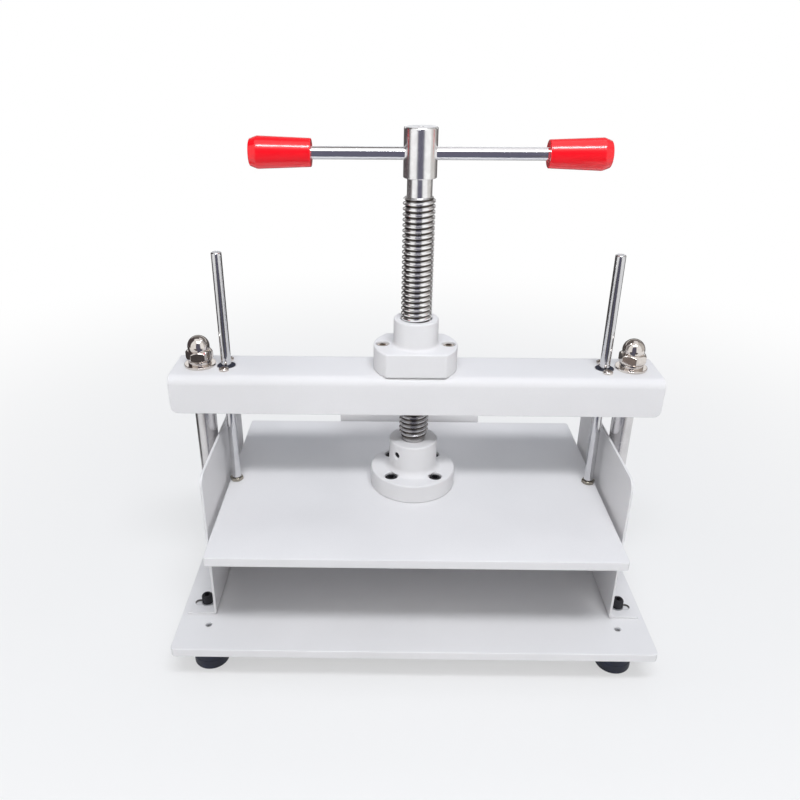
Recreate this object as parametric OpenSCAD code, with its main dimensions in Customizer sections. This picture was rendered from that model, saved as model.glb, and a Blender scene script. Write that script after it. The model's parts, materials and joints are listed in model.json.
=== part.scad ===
// Hand screw press for flattening paper.
// A base plate on rubber feet carries two posts and a folded crossbeam. A screw in the crossbeam's nut
// pushes a flat platen, which two guide rods keep level. Bent guides line up the stack of paper.
// Millimetres. The origin is on the floor under the middle of the base plate, +X to the right as seen from
// the front, +Y to the rear and +Z up.

/* [Base] */
// Distance from a post to the side edge of the base plate
base_side = 16.5; // [15:0.5:36]
// Distance that the base plate stands out in front of the platen
base_front = 7.1; // [5:0.1:30]
// Distance that the base plate stands out behind the platen
base_rear = 31.9; // [30:0.1:60]
// Thickness of the base plate
base_t = 7.5; // [5:0.5:12]
// Corner radius of the base plate
base_r = 4; // [2:0.5:10]
// Height of the rubber feet
foot_h = 27.5; // [22:0.5:40]
// Diameter of the rubber feet
foot_d = 28; // [24:0.5:32]
// Rounding of the rubber feet's lower edge
foot_r = 3.5; // [1:0.5:4]
// Distance from a foot's centre to the side edge of the base
foot_inset_x = 24.5; // [18:0.5:26]
// Distance from a foot's centre to the front or rear edge of the base
foot_inset_y = 28; // [18:0.5:30]
// Thickness of the rubber that the foot's screw clamps
foot_web = 9; // [6:0.5:14]

/* [Posts and crossbeam] */
// Diameter of the posts
post_d = 17; // [16:0.5:18]
// Distance from a post to the paper face of the guide beside it
post_gap = 12.3; // [12:0.1:15]
// Height of the crossbeam's top above the base
beam_rise = 190; // [186:1:196]
// Distance from a post to the crossbeam's end
beam_end = 21; // [17:0.5:27]
// Depth of the crossbeam, front to rear
beam_d = 50.5; // [50:0.5:60]
// Height of the crossbeam's folded sides
beam_h = 31.5; // [28:0.5:33]
// Thickness of the crossbeam's sheet
beam_t = 5; // [4:0.5:5]
// Outer radius of the crossbeam's folds
beam_bend_r = 7; // [6:0.5:9]
// Rounding of the crossbeam's lower corners
beam_corner_r = 6; // [2:0.5:9]
// Thread diameter of the studs on the posts
post_stud_d = 12; // [10:0.5:12]
// Thread diameter of the bolts under the posts
post_bolt_d = 10; // [8:1:10]
// Diameter of the washers under the cap nuts
cap_washer_d = 25.2; // [24:0.2:27]
// Thickness of the washers under the cap nuts
cap_washer_t = 2; // [1:0.5:3]
// Diameter of the split washers under the cap nuts
cap_lock_d = 18.8; // [18:0.2:20]
// Thickness of the split washers under the cap nuts
cap_lock_t = 3; // [2.5:0.1:3.5]
// Width across the flats of the cap nuts
cap_nut_af = 19; // [18:0.5:21]
// Height of the cap nuts
cap_nut_h = 20; // [19:0.5:22]

/* [Screw nut] */
// Diameter of the screw nut's flange
nut_flange_d = 66.7; // [66:0.1:72]
// Width between the two flats of the flange
nut_flat_w = 48; // [44:0.5:54]
// Thickness of the flange
nut_flange_t = 19.7; // [14:0.1:24]
// Diameter of the boss
nut_boss_d = 35.2; // [33:0.1:38]
// Height of the boss above the crossbeam
nut_boss_h = 41.5; // [34:0.5:48]
// Diameter of the end that passes through the crossbeam
nut_spigot_d = 34; // [32:0.5:36]
// Length of the nut below the crossbeam's top
nut_spigot_h = 12; // [8:0.5:18]
// Distance from each of its screws to the screw's axis
nut_bolt_x = 26.2; // [25.5:0.1:27]

/* [Press screw] */
// Outer diameter of the thread
screw_d = 24; // [22:0.5:25]
// Distance from one thread to the next
screw_pitch = 4; // [3:0.5:5]
// Depth of the thread
thread_h = 1.8; // [1.5:0.05:2.5]
// Diameter of the neck above the thread
neck_d = 18.5; // [16:0.5:19]
// Length of the neck above the thread
neck_h = 13.6; // [8:0.1:20]
// Diameter of the head
head_d = 24.3; // [23:0.1:28]
// Height of the head
head_h = 34.5; // [28:0.1:40]
// Height of the bar above the head's underside
head_hole_z = 16.6; // [12:0.1:20]
// Height at which the thread starts, above the platen
thread_low = 51.5; // [48:0.5:56]
// Length of the thread
thread_l = 190.3; // [180:0.1:200]
// Diameter of the journal that turns in the hub
journal_d = 18.8; // [17:0.1:19]

/* [Bar handle] */
// Diameter of the bar
bar_d = 9; // [8:0.5:10]
// Length over both grips
handle_l = 256; // [240:1:290]
// Distance that the bar stands to the right of the middle
bar_shift = 6.5; // [0:0.5:12]
// Length of a grip
grip_l = 44; // [40:0.5:54]
// Diameter of a grip at its inner end
grip_inner_d = 19.6; // [17:0.1:22]
// Largest diameter of a grip
grip_d = 22.6; // [20:0.1:26]
// Diameter of a grip's outer end face
grip_end_d = 18.4; // [16:0.1:19]
// Length of the slope at a grip's outer end
grip_end_l = 5.5; // [3:0.5:8]
// Depth of the bar inside a grip
grip_bore = 30; // [20:1:34]

/* [Platen and hub] */
// Width of the platen
platen_w = 315; // [280:1:360]
// Depth of the platen, front to rear
platen_d = 221; // [200:1:260]
// Thickness of the platen
platen_t = 7.6; // [6:0.1:10]
// Corner radius of the platen
platen_r = 2.5; // [1:0.5:6]
// Opening between the base and the platen as it stands
press_gap = 74.8; // [60:0.1:78]
// Diameter of the hub's flange
hub_flange_d = 71; // [68:0.5:78]
// Thickness of the hub's flange
hub_flange_t = 16; // [12:0.5:20]
// Diameter of the hub's boss
hub_boss_d = 40; // [38:0.5:41]
// Height of the hub above the platen
hub_h = 43; // [40:0.5:46]
// Diameter of the circle of the hub's screws
hub_bolt_pcd = 52; // [51:0.5:54]
// Height of the grub screw above the platen
grub_z = 33; // [26:0.5:36]
// Diameter of the grub screw
grub_d = 5; // [4:0.5:6]
// Thickness of the thrust washer under the screw
thrust_t = 2; // [1:0.5:4]

/* [Guide rods] */
// Diameter of the guide rods
rod_d = 8; // [7:0.5:9]
// Distance from a rod to the side edge of the platen
rod_inset = 5.5; // [5:0.5:7.5]
// Height of a rod's top above the platen
rod_top = 200; // [190:1:215]
// Diameter of the thread at a rod's foot
rod_stud_d = 6; // [5:0.5:6]
// Width across the flats of the lock nut at a rod's foot
jam_nut_af = 10; // [9:0.5:10.5]
// Thickness of the lock nut at a rod's foot
jam_nut_h = 3; // [2:0.5:4]
// Outer diameter of a rod's bearing
bearing_d = 15; // [14:0.5:16]
// Length of a rod's bearing
bearing_l = 24; // [20:1:26]
// Diameter of the bearing's flange under the crossbeam
bearing_flange_d = 30; // [28:0.5:34]
// Thickness of the bearing's flange
bearing_flange_t = 5; // [4:0.5:6]
// Thickness of the seals at the bearing's ends
seal_t = 1.2; // [0.8:0.1:2]
// Distance from a bearing's screw to the rod
bearing_screw_y = 10.5; // [10:0.1:11]

/* [Guides] */
// Thickness of the guides' sheet
guide_t = 2; // [1.5:0.1:2.2]
// Height of the guides above the base
guide_h = 131; // [115:1:140]
// Length of the side guides, front to rear
side_guide_l = 156; // [140:1:160]
// Width of the rear guide
rear_guide_w = 138; // [120:1:170]
// Space between a guide and the platen's edge
guide_gap = 3.2; // [2.8:0.1:3.4]
// Width of the guides' feet, over the bend
guide_foot = 24.2; // [23.5:0.1:25]
// Rounding of the guides' upper corners
guide_r = 8; // [4:0.5:14]
// Inner radius of the guides' bends
guide_bend_r = 1.5; // [1:0.1:2]
// Distance from a side guide's clamping screws to its ends
guide_bolt_end = 12.5; // [8:0.5:16]
// Distance between the rear guide's clamping screws
rear_bolt_span = 100; // [80:1:108]
// Distance from a clamping screw to the guide's paper face
guide_bolt_x = 10; // [9.8:0.1:10.4]
// Length that the guides' slots leave for adjustment
slot_travel = 9; // [6:0.5:10]

/* [Screws and fits] */
// Thread diameter of the clamping screws and the feet's screws
small_bolt_d = 5; // [4:0.5:5]
// Head diameter of the clamping screws
small_head_d = 9; // [8:0.1:9.2]
// Head height of the clamping screws
small_head_h = 6; // [4:0.1:7]
// Diameter of the washers under the clamping screws
small_washer_d = 10; // [9:0.5:10.5]
// Thickness of the washers under the clamping screws
small_washer_t = 1; // [0.6:0.1:1.4]
// Thickness of the split lock washers
lock_washer_t = 1.3; // [1:0.1:1.6]
// Thread diameter of the hub's and nut's socket screws
bolt_d = 6; // [5:0.5:6]
// Head diameter of the hub's and nut's socket screws
bolt_head_d = 10; // [9:0.1:10.2]
// Head height of the hub's and nut's socket screws
bolt_head_h = 6; // [5:0.5:7]
// Thread diameter of the bearings' screws
tiny_bolt_d = 4; // [3:0.5:4]
// Head diameter of the bearings' screws
tiny_head_d = 8; // [7:0.5:8.5]
// Head height of the bearings' screws
tiny_head_h = 2.4; // [1.5:0.1:3]
// Radial clearance of pieces that turn or slide in each other
run_gap = 0.06; // [0.02:0.01:0.1]
// Radial clearance of a screw in its thread
thread_gap = 0.05; // [0.02:0.01:0.1]
// Radial clearance of a screw or a head in a plain hole
hole_gap = 0.4; // [0.2:0.05:0.6]
// Clearance between the crests of the press screw and its nut, and in the grub screw's groove
free_gap = 0.35; // [0.3:0.05:0.5]

/* [Hidden] */
$fn = 64;

// Heights of the main faces above the floor
base_top = foot_h + base_t;
platen_low = base_top + press_gap;
platen_top = platen_low + platen_t;
beam_top = base_top + beam_rise;
beam_roof = beam_top - beam_t;
screw_foot = platen_top + thrust_t;
thread_bottom = platen_top + thread_low;
thread_top = thread_bottom + thread_l;
head_low = thread_top + neck_h;
head_top = head_low + head_h;
bar_z = head_low + head_hole_z;

// From front to rear: the base's depth, and the place of the screw, posts and rods over the platen's middle
base_d = base_front + platen_d + base_rear;
mast_y = (base_front - base_rear) / 2;

// From the middle of the press outwards: the rods, the side guides, the posts, and the ends of base and crossbeam
rod_x = platen_w / 2 - rod_inset;
side_guide_x = platen_w / 2 + guide_gap;
post_x = side_guide_x + post_gap;
base_w = 2 * (post_x + base_side);
beam_w = 2 * (post_x + beam_end);

// Places of the feet, as the distance from the middle of the base
foot_x = base_w / 2 - foot_inset_x;
foot_y = base_d / 2 - foot_inset_y;
// The screw of a foot ends a little below the base's top, where it shows as a hole
foot_screw_recess = 1.5;
foot_washer_t = 1.5;
foot_washer_d = 2.6 * small_bolt_d;
foot_bore_d = foot_washer_d + 2 * hole_gap;

// The seals lie inside the bearings' walls
bearing_wall = 1;
seal_d = bearing_d - 2 * bearing_wall;

// The posts' fastenings
post_bolt_l = 24;
post_bolt_bite = post_bolt_l - base_t;
post_washer_d = 2 * post_bolt_d;
post_washer_t = 2;
post_bolt_af = 1.6 * post_bolt_d;
post_bolt_head_h = 0.64 * post_bolt_d;
cap_lock_low = beam_top + cap_washer_t;
cap_nut_low = cap_lock_low + cap_lock_t;
cap_nut_hex_h = 0.42 * cap_nut_h;
cap_nut_bore = 0.62 * cap_nut_h;
cap_nut_dome_r = 0.46 * cap_nut_af;
post_stud_gap = 1;
post_stud_top = cap_nut_low + cap_nut_bore - post_stud_gap;

// The counterbored screws of the nut and the hub
counterbore_d = bolt_head_d + 2 * hole_gap;
counterbore_h = bolt_head_h + 0.8;
hex_socket = 0.83;
nut_bolt_l = nut_flange_t - counterbore_h + beam_t;
hub_bolt_l = hub_flange_t - counterbore_h + platen_t;

// The groove in the screw's journal and the grub screw that runs in it
groove_h = 0.7 * grub_d + 2 * free_gap;
groove_depth = 2;
groove_d = journal_d - 2 * groove_depth;
grub_tip_d = 0.7 * grub_d;
grub_tip_r = groove_d / 2 + free_gap;
grub_shoulder_r = journal_d / 2 + 1.5;
grub_out_r = hub_boss_d / 2 - 1.5;
grub_angle = 225;

// The thread's form along the screw, as shares of its pitch
thread_crest = 0.32;
thread_root = 0.30;
thread_turns = floor(thread_l / screw_pitch);
thread_root_d = screw_d - 2 * thread_h;

// The rear guide stands behind the platen
rear_guide_y = mast_y + platen_d / 2 + guide_gap;
side_bolt_y = side_guide_l / 2 - guide_bolt_end;
slot_w = small_bolt_d + 2 * hole_gap;
slot_out = 0.7;
post_notch_gap = 5;
post_notch = post_d + 2 * post_notch_gap;
clamp_stack = guide_t + small_washer_t + lock_washer_t;

// The bar's place in the screw's head
bar_half = handle_l / 2 - grip_l + grip_bore;

left = -1;
right = 1;
sides = [left, right];

paint = [0.80, 0.81, 0.82];
bright_steel = [0.72, 0.73, 0.75];
polished_steel = [0.80, 0.81, 0.83];
black_steel = [0.10, 0.10, 0.11];
black_rubber = [0.08, 0.08, 0.09];
red_plastic = [0.80, 0.10, 0.14];
bronze = [0.70, 0.52, 0.30];

// A rectangle with round corners, centred
module round_rect(w, d, r) {
    square([w - 2 * r, d], center = true);
    square([w, d - 2 * r], center = true);
    for (x = sides, y = sides)
        translate([x * (w / 2 - r), y * (d / 2 - r)])
            circle(r);
}

// A rectangle standing on the X axis, whose two upper corners are round
module round_top(w, h, r) {
    translate([-w / 2, 0])
        square([w, h - r]);
    translate([-w / 2 + r, 0])
        square([w - 2 * r, h]);
    for (x = sides)
        translate([x * (w / 2 - r), h - r])
            circle(r);
}

// A slot along the X axis, centred
module slot(length, w) {
    square([length - w, w], center = true);
    for (x = sides)
        translate([x * (length - w) / 2, 0])
            circle(d = w);
}

// A flat ring
module ring(outer_d, inner_d, h) {
    difference() {
        cylinder(d = outer_d, h = h);
        translate([0, 0, -1])
            cylinder(d = inner_d, h = h + 2);
    }
}

// A split washer, a ring with a narrow gap cut through its rear side
module split_ring(outer_d, inner_d, h, split) {
    difference() {
        ring(outer_d, inner_d, h);
        translate([-split / 2, 0, -1])
            cube([split, outer_d, h + 2]);
    }
}

// A hexagonal prism with its corners turned off at the top
module hex_block(across_flats, h) {
    corner_d = across_flats / cos(30);
    blank_r = 1.02 * corner_d / 2;
    intersection() {
        cylinder(d = corner_d, h = h, $fn = 6);
        rotate_extrude()
            polygon([
                [0, 0],
                [blank_r, 0],
                [blank_r, h - (blank_r - across_flats / 2) * tan(30)],
                [across_flats / 2, h],
                [0, h],
            ]);
    }
}

// A socket screw with its head's seat at the origin and its head upwards
module socket_screw(d, head_d, head_h, length) {
    difference() {
        rotate_extrude()
            polygon([
                [0, -length],
                [d / 2, -length],
                [d / 2, 0],
                [head_d / 2, 0],
                [head_d / 2, 0.9 * head_h],
                [head_d / 2 - 0.1 * head_h, head_h],
                [0, head_h],
            ]);
        translate([0, 0, 0.45 * head_h])
            cylinder(d = hex_socket * d / cos(30), h = head_h, $fn = 6);
    }
}

// A screw with a low round head and a cross slot, its seat at the origin and its head upwards
module pan_screw(d, head_d, head_h, length) {
    slot = 0.2 * head_d;
    difference() {
        rotate_extrude()
            polygon([
                [0, -length],
                [d / 2, -length],
                [d / 2, 0],
                [head_d / 2, 0],
                [head_d / 2, 0.45 * head_h],
                [0.36 * head_d, head_h],
                [0, head_h],
            ]);
        for (turn = [0, 90])
            rotate([0, 0, turn])
                translate([-0.28 * head_d, -slot / 2, 0.4 * head_h])
                    cube([0.56 * head_d, slot, head_h]);
    }
}

// Puts the children at the four feet
module at_feet() {
    for (x = sides, y = sides)
        translate([x * foot_x, y * foot_y, 0])
            children();
}

// Puts the children on each post's axis
module at_posts() {
    for (x = sides)
        translate([x * post_x, mast_y, 0])
            children();
}

// Puts the children on each guide rod's axis
module at_rods() {
    for (x = sides)
        translate([x * rod_x, mast_y, 0])
            children();
}

// Puts the children at the four screws of the two rod bearings
module at_bearing_screws() {
    at_rods()
        for (y = sides)
            translate([0, y * bearing_screw_y, 0])
                children();
}

// Puts the children at the nut's two screws
module at_nut_bolts() {
    for (x = sides)
        translate([x * nut_bolt_x, mast_y, 0])
            children();
}

// Puts the children at the hub's four screws
module at_hub_bolts() {
    translate([0, mast_y, 0])
        for (turn = [45 : 90 : 315])
            rotate([0, 0, turn])
                translate([hub_bolt_pcd / 2, 0, 0])
                    children();
}

// Puts the children at the six clamping screws of the guides, on top of the base
module at_guide_bolts() {
    for (x = sides, y = sides)
        translate([x * (side_guide_x + guide_bolt_x), mast_y + y * side_bolt_y, base_top])
            children();
    for (x = sides)
        translate([x * rear_bolt_span / 2, rear_guide_y + guide_bolt_x, base_top])
            children();
}

module base_plate() {
    color(paint)
        difference() {
            translate([0, 0, foot_h])
                linear_extrude(base_t)
                    round_rect(base_w, base_d, base_r);
            at_feet()
                cylinder(d = small_bolt_d + 2 * thread_gap, h = base_top + 1);
            at_posts()
                cylinder(d = post_bolt_d + 2 * hole_gap, h = base_top + 1);
            at_guide_bolts()
                translate([0, 0, -base_t - 1])
                    cylinder(d = small_bolt_d + 2 * thread_gap, h = base_t + 2);
        }
}

// A rubber foot with the bore that hides its screw
module rubber_foot(x, y) {
    bore_h = foot_h - foot_web;
    color(black_rubber)
        translate([x * foot_x, y * foot_y, 0])
            rotate_extrude()
                difference() {
                    union() {
                        translate([0, foot_r])
                            square([foot_d / 2, foot_h - foot_r]);
                        square([foot_d / 2 - foot_r, foot_h]);
                        translate([foot_d / 2 - foot_r, foot_r])
                            circle(foot_r);
                    }
                    translate([-1, -1])
                        square([1 + foot_bore_d / 2, bore_h + 1]);
                    translate([-1, -1])
                        square([1 + small_bolt_d / 2 + hole_gap, foot_h + 2]);
                }
}

module front_left_foot() {
    rubber_foot(left, -1);
}

module front_right_foot() {
    rubber_foot(right, -1);
}

module rear_left_foot() {
    rubber_foot(left, 1);
}

module rear_right_foot() {
    rubber_foot(right, 1);
}

module foot_screws() {
    seat = foot_h - foot_web - foot_washer_t;
    color(bright_steel)
        at_feet()
            translate([0, 0, seat])
                mirror([0, 0, 1])
                    pan_screw(
                        small_bolt_d,
                        2 * small_bolt_d,
                        0.6 * small_bolt_d,
                        base_top - foot_screw_recess - seat
                    );
}

module foot_washers() {
    color(bright_steel)
        at_feet()
            translate([0, 0, foot_h - foot_web - foot_washer_t])
                ring(foot_washer_d, small_bolt_d + 2 * hole_gap, foot_washer_t);
}

// A post with a threaded hole at its foot and a threaded stud at its top
module post(x) {
    color(bright_steel)
        translate([x * post_x, mast_y, 0])
            rotate_extrude()
                polygon([
                    [post_bolt_d / 2 + thread_gap, base_top],
                    [post_d / 2, base_top],
                    [post_d / 2, beam_roof],
                    [post_stud_d / 2, beam_roof],
                    [post_stud_d / 2, post_stud_top],
                    [0, post_stud_top],
                    [0, base_top + post_bolt_bite + 2],
                    [post_bolt_d / 2 + thread_gap, base_top + post_bolt_bite + 2],
                ]);
}

module left_post() {
    post(left);
}

module right_post() {
    post(right);
}

module post_bolts() {
    seat = foot_h - post_washer_t;
    color(bright_steel)
        at_posts() {
            translate([0, 0, seat])
                mirror([0, 0, 1])
                    hex_block(post_bolt_af, post_bolt_head_h);
            translate([0, 0, seat])
                cylinder(d = post_bolt_d, h = post_bolt_l + post_washer_t);
        }
}

module post_bolt_washers() {
    color(bright_steel)
        at_posts()
            translate([0, 0, foot_h - post_washer_t])
                ring(post_washer_d, post_bolt_d + 2 * hole_gap, post_washer_t);
}

// The crossbeam's folded section, with its roof upwards
module beam_section() {
    difference() {
        round_top(beam_d, beam_h, beam_bend_r);
        translate([0, -1])
            round_top(beam_d - 2 * beam_t, beam_h - beam_t + 1, beam_bend_r - beam_t);
    }
}

module crossbeam() {
    color(paint)
        difference() {
            intersection() {
                translate([-beam_w / 2, mast_y, beam_top - beam_h])
                    rotate([90, 0, 90])
                        linear_extrude(beam_w)
                            beam_section();
                translate([0, mast_y + beam_d, beam_top])
                    rotate([90, 0, 0])
                        mirror([0, 1, 0])
                            linear_extrude(2 * beam_d)
                                round_top(beam_w, beam_h, beam_corner_r);
            }
            translate([0, mast_y, beam_roof - 1])
                cylinder(d = nut_spigot_d + 2 * run_gap, h = beam_t + 2);
            at_nut_bolts()
                translate([0, 0, beam_roof - 1])
                    cylinder(d = bolt_d + 2 * thread_gap, h = beam_t + 2);
            at_posts()
                translate([0, 0, beam_roof - 1])
                    cylinder(d = post_stud_d + 2 * hole_gap, h = beam_t + 2);
            at_rods()
                translate([0, 0, beam_roof - 1])
                    cylinder(d = bearing_d + 2 * run_gap, h = beam_t + 2);
            at_bearing_screws()
                translate([0, 0, beam_roof - 1])
                    cylinder(d = tiny_bolt_d + hole_gap, h = beam_t + 2);
        }
}

module cap_nut_washers() {
    color(polished_steel)
        at_posts()
            translate([0, 0, beam_top])
                ring(cap_washer_d, post_stud_d + 2 * hole_gap, cap_washer_t);
}

module cap_nut_lock_washers() {
    color(polished_steel)
        at_posts()
            translate([0, 0, cap_lock_low])
                split_ring(cap_lock_d, post_stud_d + 2 * hole_gap, cap_lock_t, 0.1 * post_stud_d);
}

// A domed nut that closes over the end of a post's stud, with its corners turned off at both ends
module cap_nut(x) {
    color(polished_steel)
        translate([x * post_x, mast_y, cap_nut_low])
            difference() {
                union() {
                    intersection() {
                        hex_block(cap_nut_af, cap_nut_hex_h);
                        translate([0, 0, cap_nut_hex_h])
                            mirror([0, 0, 1])
                                hex_block(cap_nut_af, cap_nut_hex_h);
                    }
                    translate([0, 0, cap_nut_h - cap_nut_dome_r])
                        sphere(cap_nut_dome_r);
                }
                translate([0, 0, -1])
                    cylinder(d = post_stud_d + 2 * thread_gap, h = cap_nut_bore + 1);
            }
}

module left_cap_nut() {
    cap_nut(left);
}

module right_cap_nut() {
    cap_nut(right);
}

module screw_nut() {
    color(paint)
        difference() {
            translate([0, mast_y, beam_top]) {
                intersection() {
                    cylinder(d = nut_flange_d, h = nut_flange_t);
                    translate([-nut_flange_d, -nut_flat_w / 2, 0])
                        cube([2 * nut_flange_d, nut_flat_w, nut_flange_t]);
                }
                cylinder(d = nut_boss_d, h = nut_boss_h);
                translate([0, 0, -nut_spigot_h])
                    cylinder(d = nut_spigot_d, h = nut_spigot_h + 1);
            }
            translate([0, mast_y, beam_top - nut_spigot_h - 1])
                cylinder(d = screw_d + 2 * free_gap, h = nut_spigot_h + nut_boss_h + 2);
            at_nut_bolts() {
                translate([0, 0, beam_top - 1])
                    cylinder(d = bolt_d + 2 * hole_gap, h = nut_flange_t + 2);
                translate([0, 0, beam_top + nut_flange_t - counterbore_h])
                    cylinder(d = counterbore_d, h = counterbore_h + 1);
            }
        }
}

module screw_nut_bolts() {
    color(polished_steel)
        at_nut_bolts()
            translate([0, 0, beam_top + nut_flange_t - counterbore_h])
                socket_screw(bolt_d, bolt_head_d, bolt_head_h, nut_bolt_l);
}

// A flanged bearing for a guide rod, hung under the crossbeam's roof with its end flush above
module rod_bearing(x) {
    bottom = beam_top - bearing_l;
    color(bright_steel)
        difference() {
            translate([x * rod_x, mast_y, bottom]) {
                cylinder(d = bearing_d, h = bearing_l);
                translate([0, 0, beam_roof - bottom - bearing_flange_t])
                    intersection() {
                        cylinder(d = bearing_flange_d, h = bearing_flange_t);
                        translate([-0.65 * bearing_d, -bearing_flange_d, 0])
                            cube([1.3 * bearing_d, 2 * bearing_flange_d, bearing_flange_t]);
                    }
            }
            translate([x * rod_x, mast_y, 0]) {
                translate([0, 0, bottom - 1])
                    cylinder(d = rod_d + 2 * run_gap, h = bearing_l + 2);
                for (end = [bottom - 1, beam_top - seal_t])
                    translate([0, 0, end])
                        cylinder(d = seal_d + 2 * thread_gap, h = seal_t + 1);
                for (y = sides)
                    translate([0, y * bearing_screw_y, bottom])
                        cylinder(d = tiny_bolt_d + 2 * thread_gap, h = bearing_l);
            }
        }
}

module left_rod_bearing() {
    rod_bearing(left);
}

module right_rod_bearing() {
    rod_bearing(right);
}

module bearing_seals() {
    color(black_rubber)
        at_rods()
            for (end = [beam_top - bearing_l, beam_top - seal_t])
                translate([0, 0, end])
                    ring(seal_d, rod_d + 2 * free_gap, seal_t);
}

module bearing_screws() {
    color(polished_steel)
        at_bearing_screws()
            translate([0, 0, beam_top])
                pan_screw(tiny_bolt_d, tiny_head_d, tiny_head_h, beam_t + bearing_flange_t);
}

module platen() {
    color(paint)
        difference() {
            translate([0, mast_y, platen_low])
                linear_extrude(platen_t)
                    round_rect(platen_w, platen_d, platen_r);
            at_hub_bolts()
                translate([0, 0, platen_low - 1])
                    cylinder(d = bolt_d + 2 * thread_gap, h = platen_t + 2);
            at_rods()
                translate([0, 0, platen_low - 1])
                    cylinder(d = rod_stud_d + 2 * thread_gap, h = platen_t + 2);
        }
}

module hub_flange() {
    color(paint)
        difference() {
            translate([0, mast_y, platen_top]) {
                cylinder(d = hub_flange_d, h = hub_flange_t);
                cylinder(d = hub_boss_d, h = hub_h);
            }
            translate([0, mast_y, platen_top - 1])
                cylinder(d = journal_d + 2 * run_gap, h = hub_h + 2);
            at_hub_bolts() {
                translate([0, 0, platen_top - 1])
                    cylinder(d = bolt_d + 2 * hole_gap, h = hub_flange_t + 2);
                translate([0, 0, platen_top + hub_flange_t - counterbore_h])
                    cylinder(d = counterbore_d, h = counterbore_h + 1);
            }
            translate([0, mast_y, platen_top + grub_z])
                rotate([0, 90, grub_angle])
                    cylinder(d = grub_d + 2 * thread_gap, h = hub_boss_d);
        }
}

module hub_bolts() {
    color(black_steel)
        at_hub_bolts()
            translate([0, 0, platen_top + hub_flange_t - counterbore_h])
                socket_screw(bolt_d, bolt_head_d, bolt_head_h, hub_bolt_l);
}

module hub_grub_screw() {
    color(black_steel)
        translate([0, mast_y, platen_top + grub_z])
            rotate([0, 90, grub_angle])
                difference() {
                    rotate_extrude()
                        polygon([
                            [0, grub_tip_r],
                            [grub_tip_d / 2, grub_tip_r],
                            [grub_tip_d / 2, grub_shoulder_r],
                            [grub_d / 2, grub_shoulder_r],
                            [grub_d / 2, grub_out_r],
                            [0, grub_out_r],
                        ]);
                    translate([0, 0, grub_out_r - 0.5 * grub_d])
                        cylinder(d = 0.5 * grub_d / cos(30), h = grub_d, $fn = 6);
                }
}

module thrust_washer() {
    color(bronze)
        translate([0, mast_y, platen_top])
            cylinder(d = journal_d, h = thrust_t);
}

// A rod with a thin threaded foot that stands on its lock nut
module guide_rod(x) {
    chamfer = 0.08 * rod_d;
    color(polished_steel)
        translate([x * rod_x, mast_y, platen_top])
            rotate_extrude()
                polygon([
                    [0, -platen_t],
                    [rod_stud_d / 2, -platen_t],
                    [rod_stud_d / 2, jam_nut_h],
                    [rod_d / 2, jam_nut_h],
                    [rod_d / 2, rod_top - chamfer],
                    [rod_d / 2 - chamfer, rod_top],
                    [0, rod_top],
                ]);
}

module left_guide_rod() {
    guide_rod(left);
}

module right_guide_rod() {
    guide_rod(right);
}

module rod_jam_nuts() {
    color(polished_steel)
        at_rods()
            translate([0, 0, platen_top])
                difference() {
                    hex_block(jam_nut_af, jam_nut_h);
                    translate([0, 0, -1])
                        cylinder(d = rod_stud_d + 2 * thread_gap, h = jam_nut_h + 2);
                }
}

// The thread's outline from bottom to top, one ridge for each pitch
function thread_points(start) = [
    for (i = [0 : thread_turns - 1], p = [
        [thread_root_d / 2, 0],
        [thread_root_d / 2, thread_root],
        [screw_d / 2, (1 + thread_root - thread_crest) / 2],
        [screw_d / 2, (1 + thread_root + thread_crest) / 2],
    ])
        [p[0], start + (i + p[1]) * screw_pitch]
];

module press_screw() {
    head_chamfer = 0.04 * head_d;
    centre_d = 0.2 * head_d;
    groove_low = platen_top + grub_z - groove_h / 2;
    thread_end = thread_bottom + thread_turns * screw_pitch;
    color(polished_steel)
        translate([0, mast_y, 0])
            difference() {
                rotate_extrude()
                    polygon(concat(
                        [
                            [0, screw_foot],
                            [journal_d / 2, screw_foot],
                            [journal_d / 2, groove_low],
                            [groove_d / 2, groove_low],
                            [groove_d / 2, groove_low + groove_h],
                            [journal_d / 2, groove_low + groove_h],
                            [journal_d / 2, thread_bottom],
                        ],
                        thread_points(thread_bottom),
                        [
                            [thread_root_d / 2, thread_end],
                            [thread_root_d / 2, thread_top],
                            [neck_d / 2, thread_top],
                            [neck_d / 2, head_low],
                            [head_d / 2 - head_chamfer, head_low],
                            [head_d / 2, head_low + head_chamfer],
                            [head_d / 2, head_top - head_chamfer],
                            [head_d / 2 - head_chamfer, head_top],
                            [centre_d / 2, head_top],
                            [0, head_top - centre_d / 2],
                        ]
                    ));
                translate([0, 0, bar_z])
                    rotate([0, 90, 0])
                        cylinder(d = bar_d + 2 * run_gap, h = 2 * head_d, center = true);
            }
}

module handle_bar() {
    chamfer = 0.08 * bar_d;
    color(polished_steel)
        translate([bar_shift - bar_half, mast_y, bar_z])
            rotate([0, 90, 0])
                rotate_extrude()
                    polygon([
                        [0, 0],
                        [bar_d / 2 - chamfer, 0],
                        [bar_d / 2, chamfer],
                        [bar_d / 2, 2 * bar_half - chamfer],
                        [bar_d / 2 - chamfer, 2 * bar_half],
                        [0, 2 * bar_half],
                    ]);
}

// A turned grip on the end of the bar, widest near its outer end
module grip(x) {
    inner_chamfer = 0.04 * grip_d;
    color(red_plastic)
        translate([bar_shift, mast_y, bar_z])
            rotate([0, x * 90, 0])
                translate([0, 0, handle_l / 2 - grip_l])
                    rotate_extrude()
                        polygon([
                            [bar_d / 2 + thread_gap, 0],
                            [grip_inner_d / 2 - inner_chamfer, 0],
                            [grip_inner_d / 2, inner_chamfer],
                            [grip_d / 2, grip_l - grip_end_l],
                            [grip_end_d / 2, grip_l],
                            [0, grip_l],
                            [0, grip_bore + 1],
                            [bar_d / 2 + thread_gap, grip_bore + 1],
                        ]);
}

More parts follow.
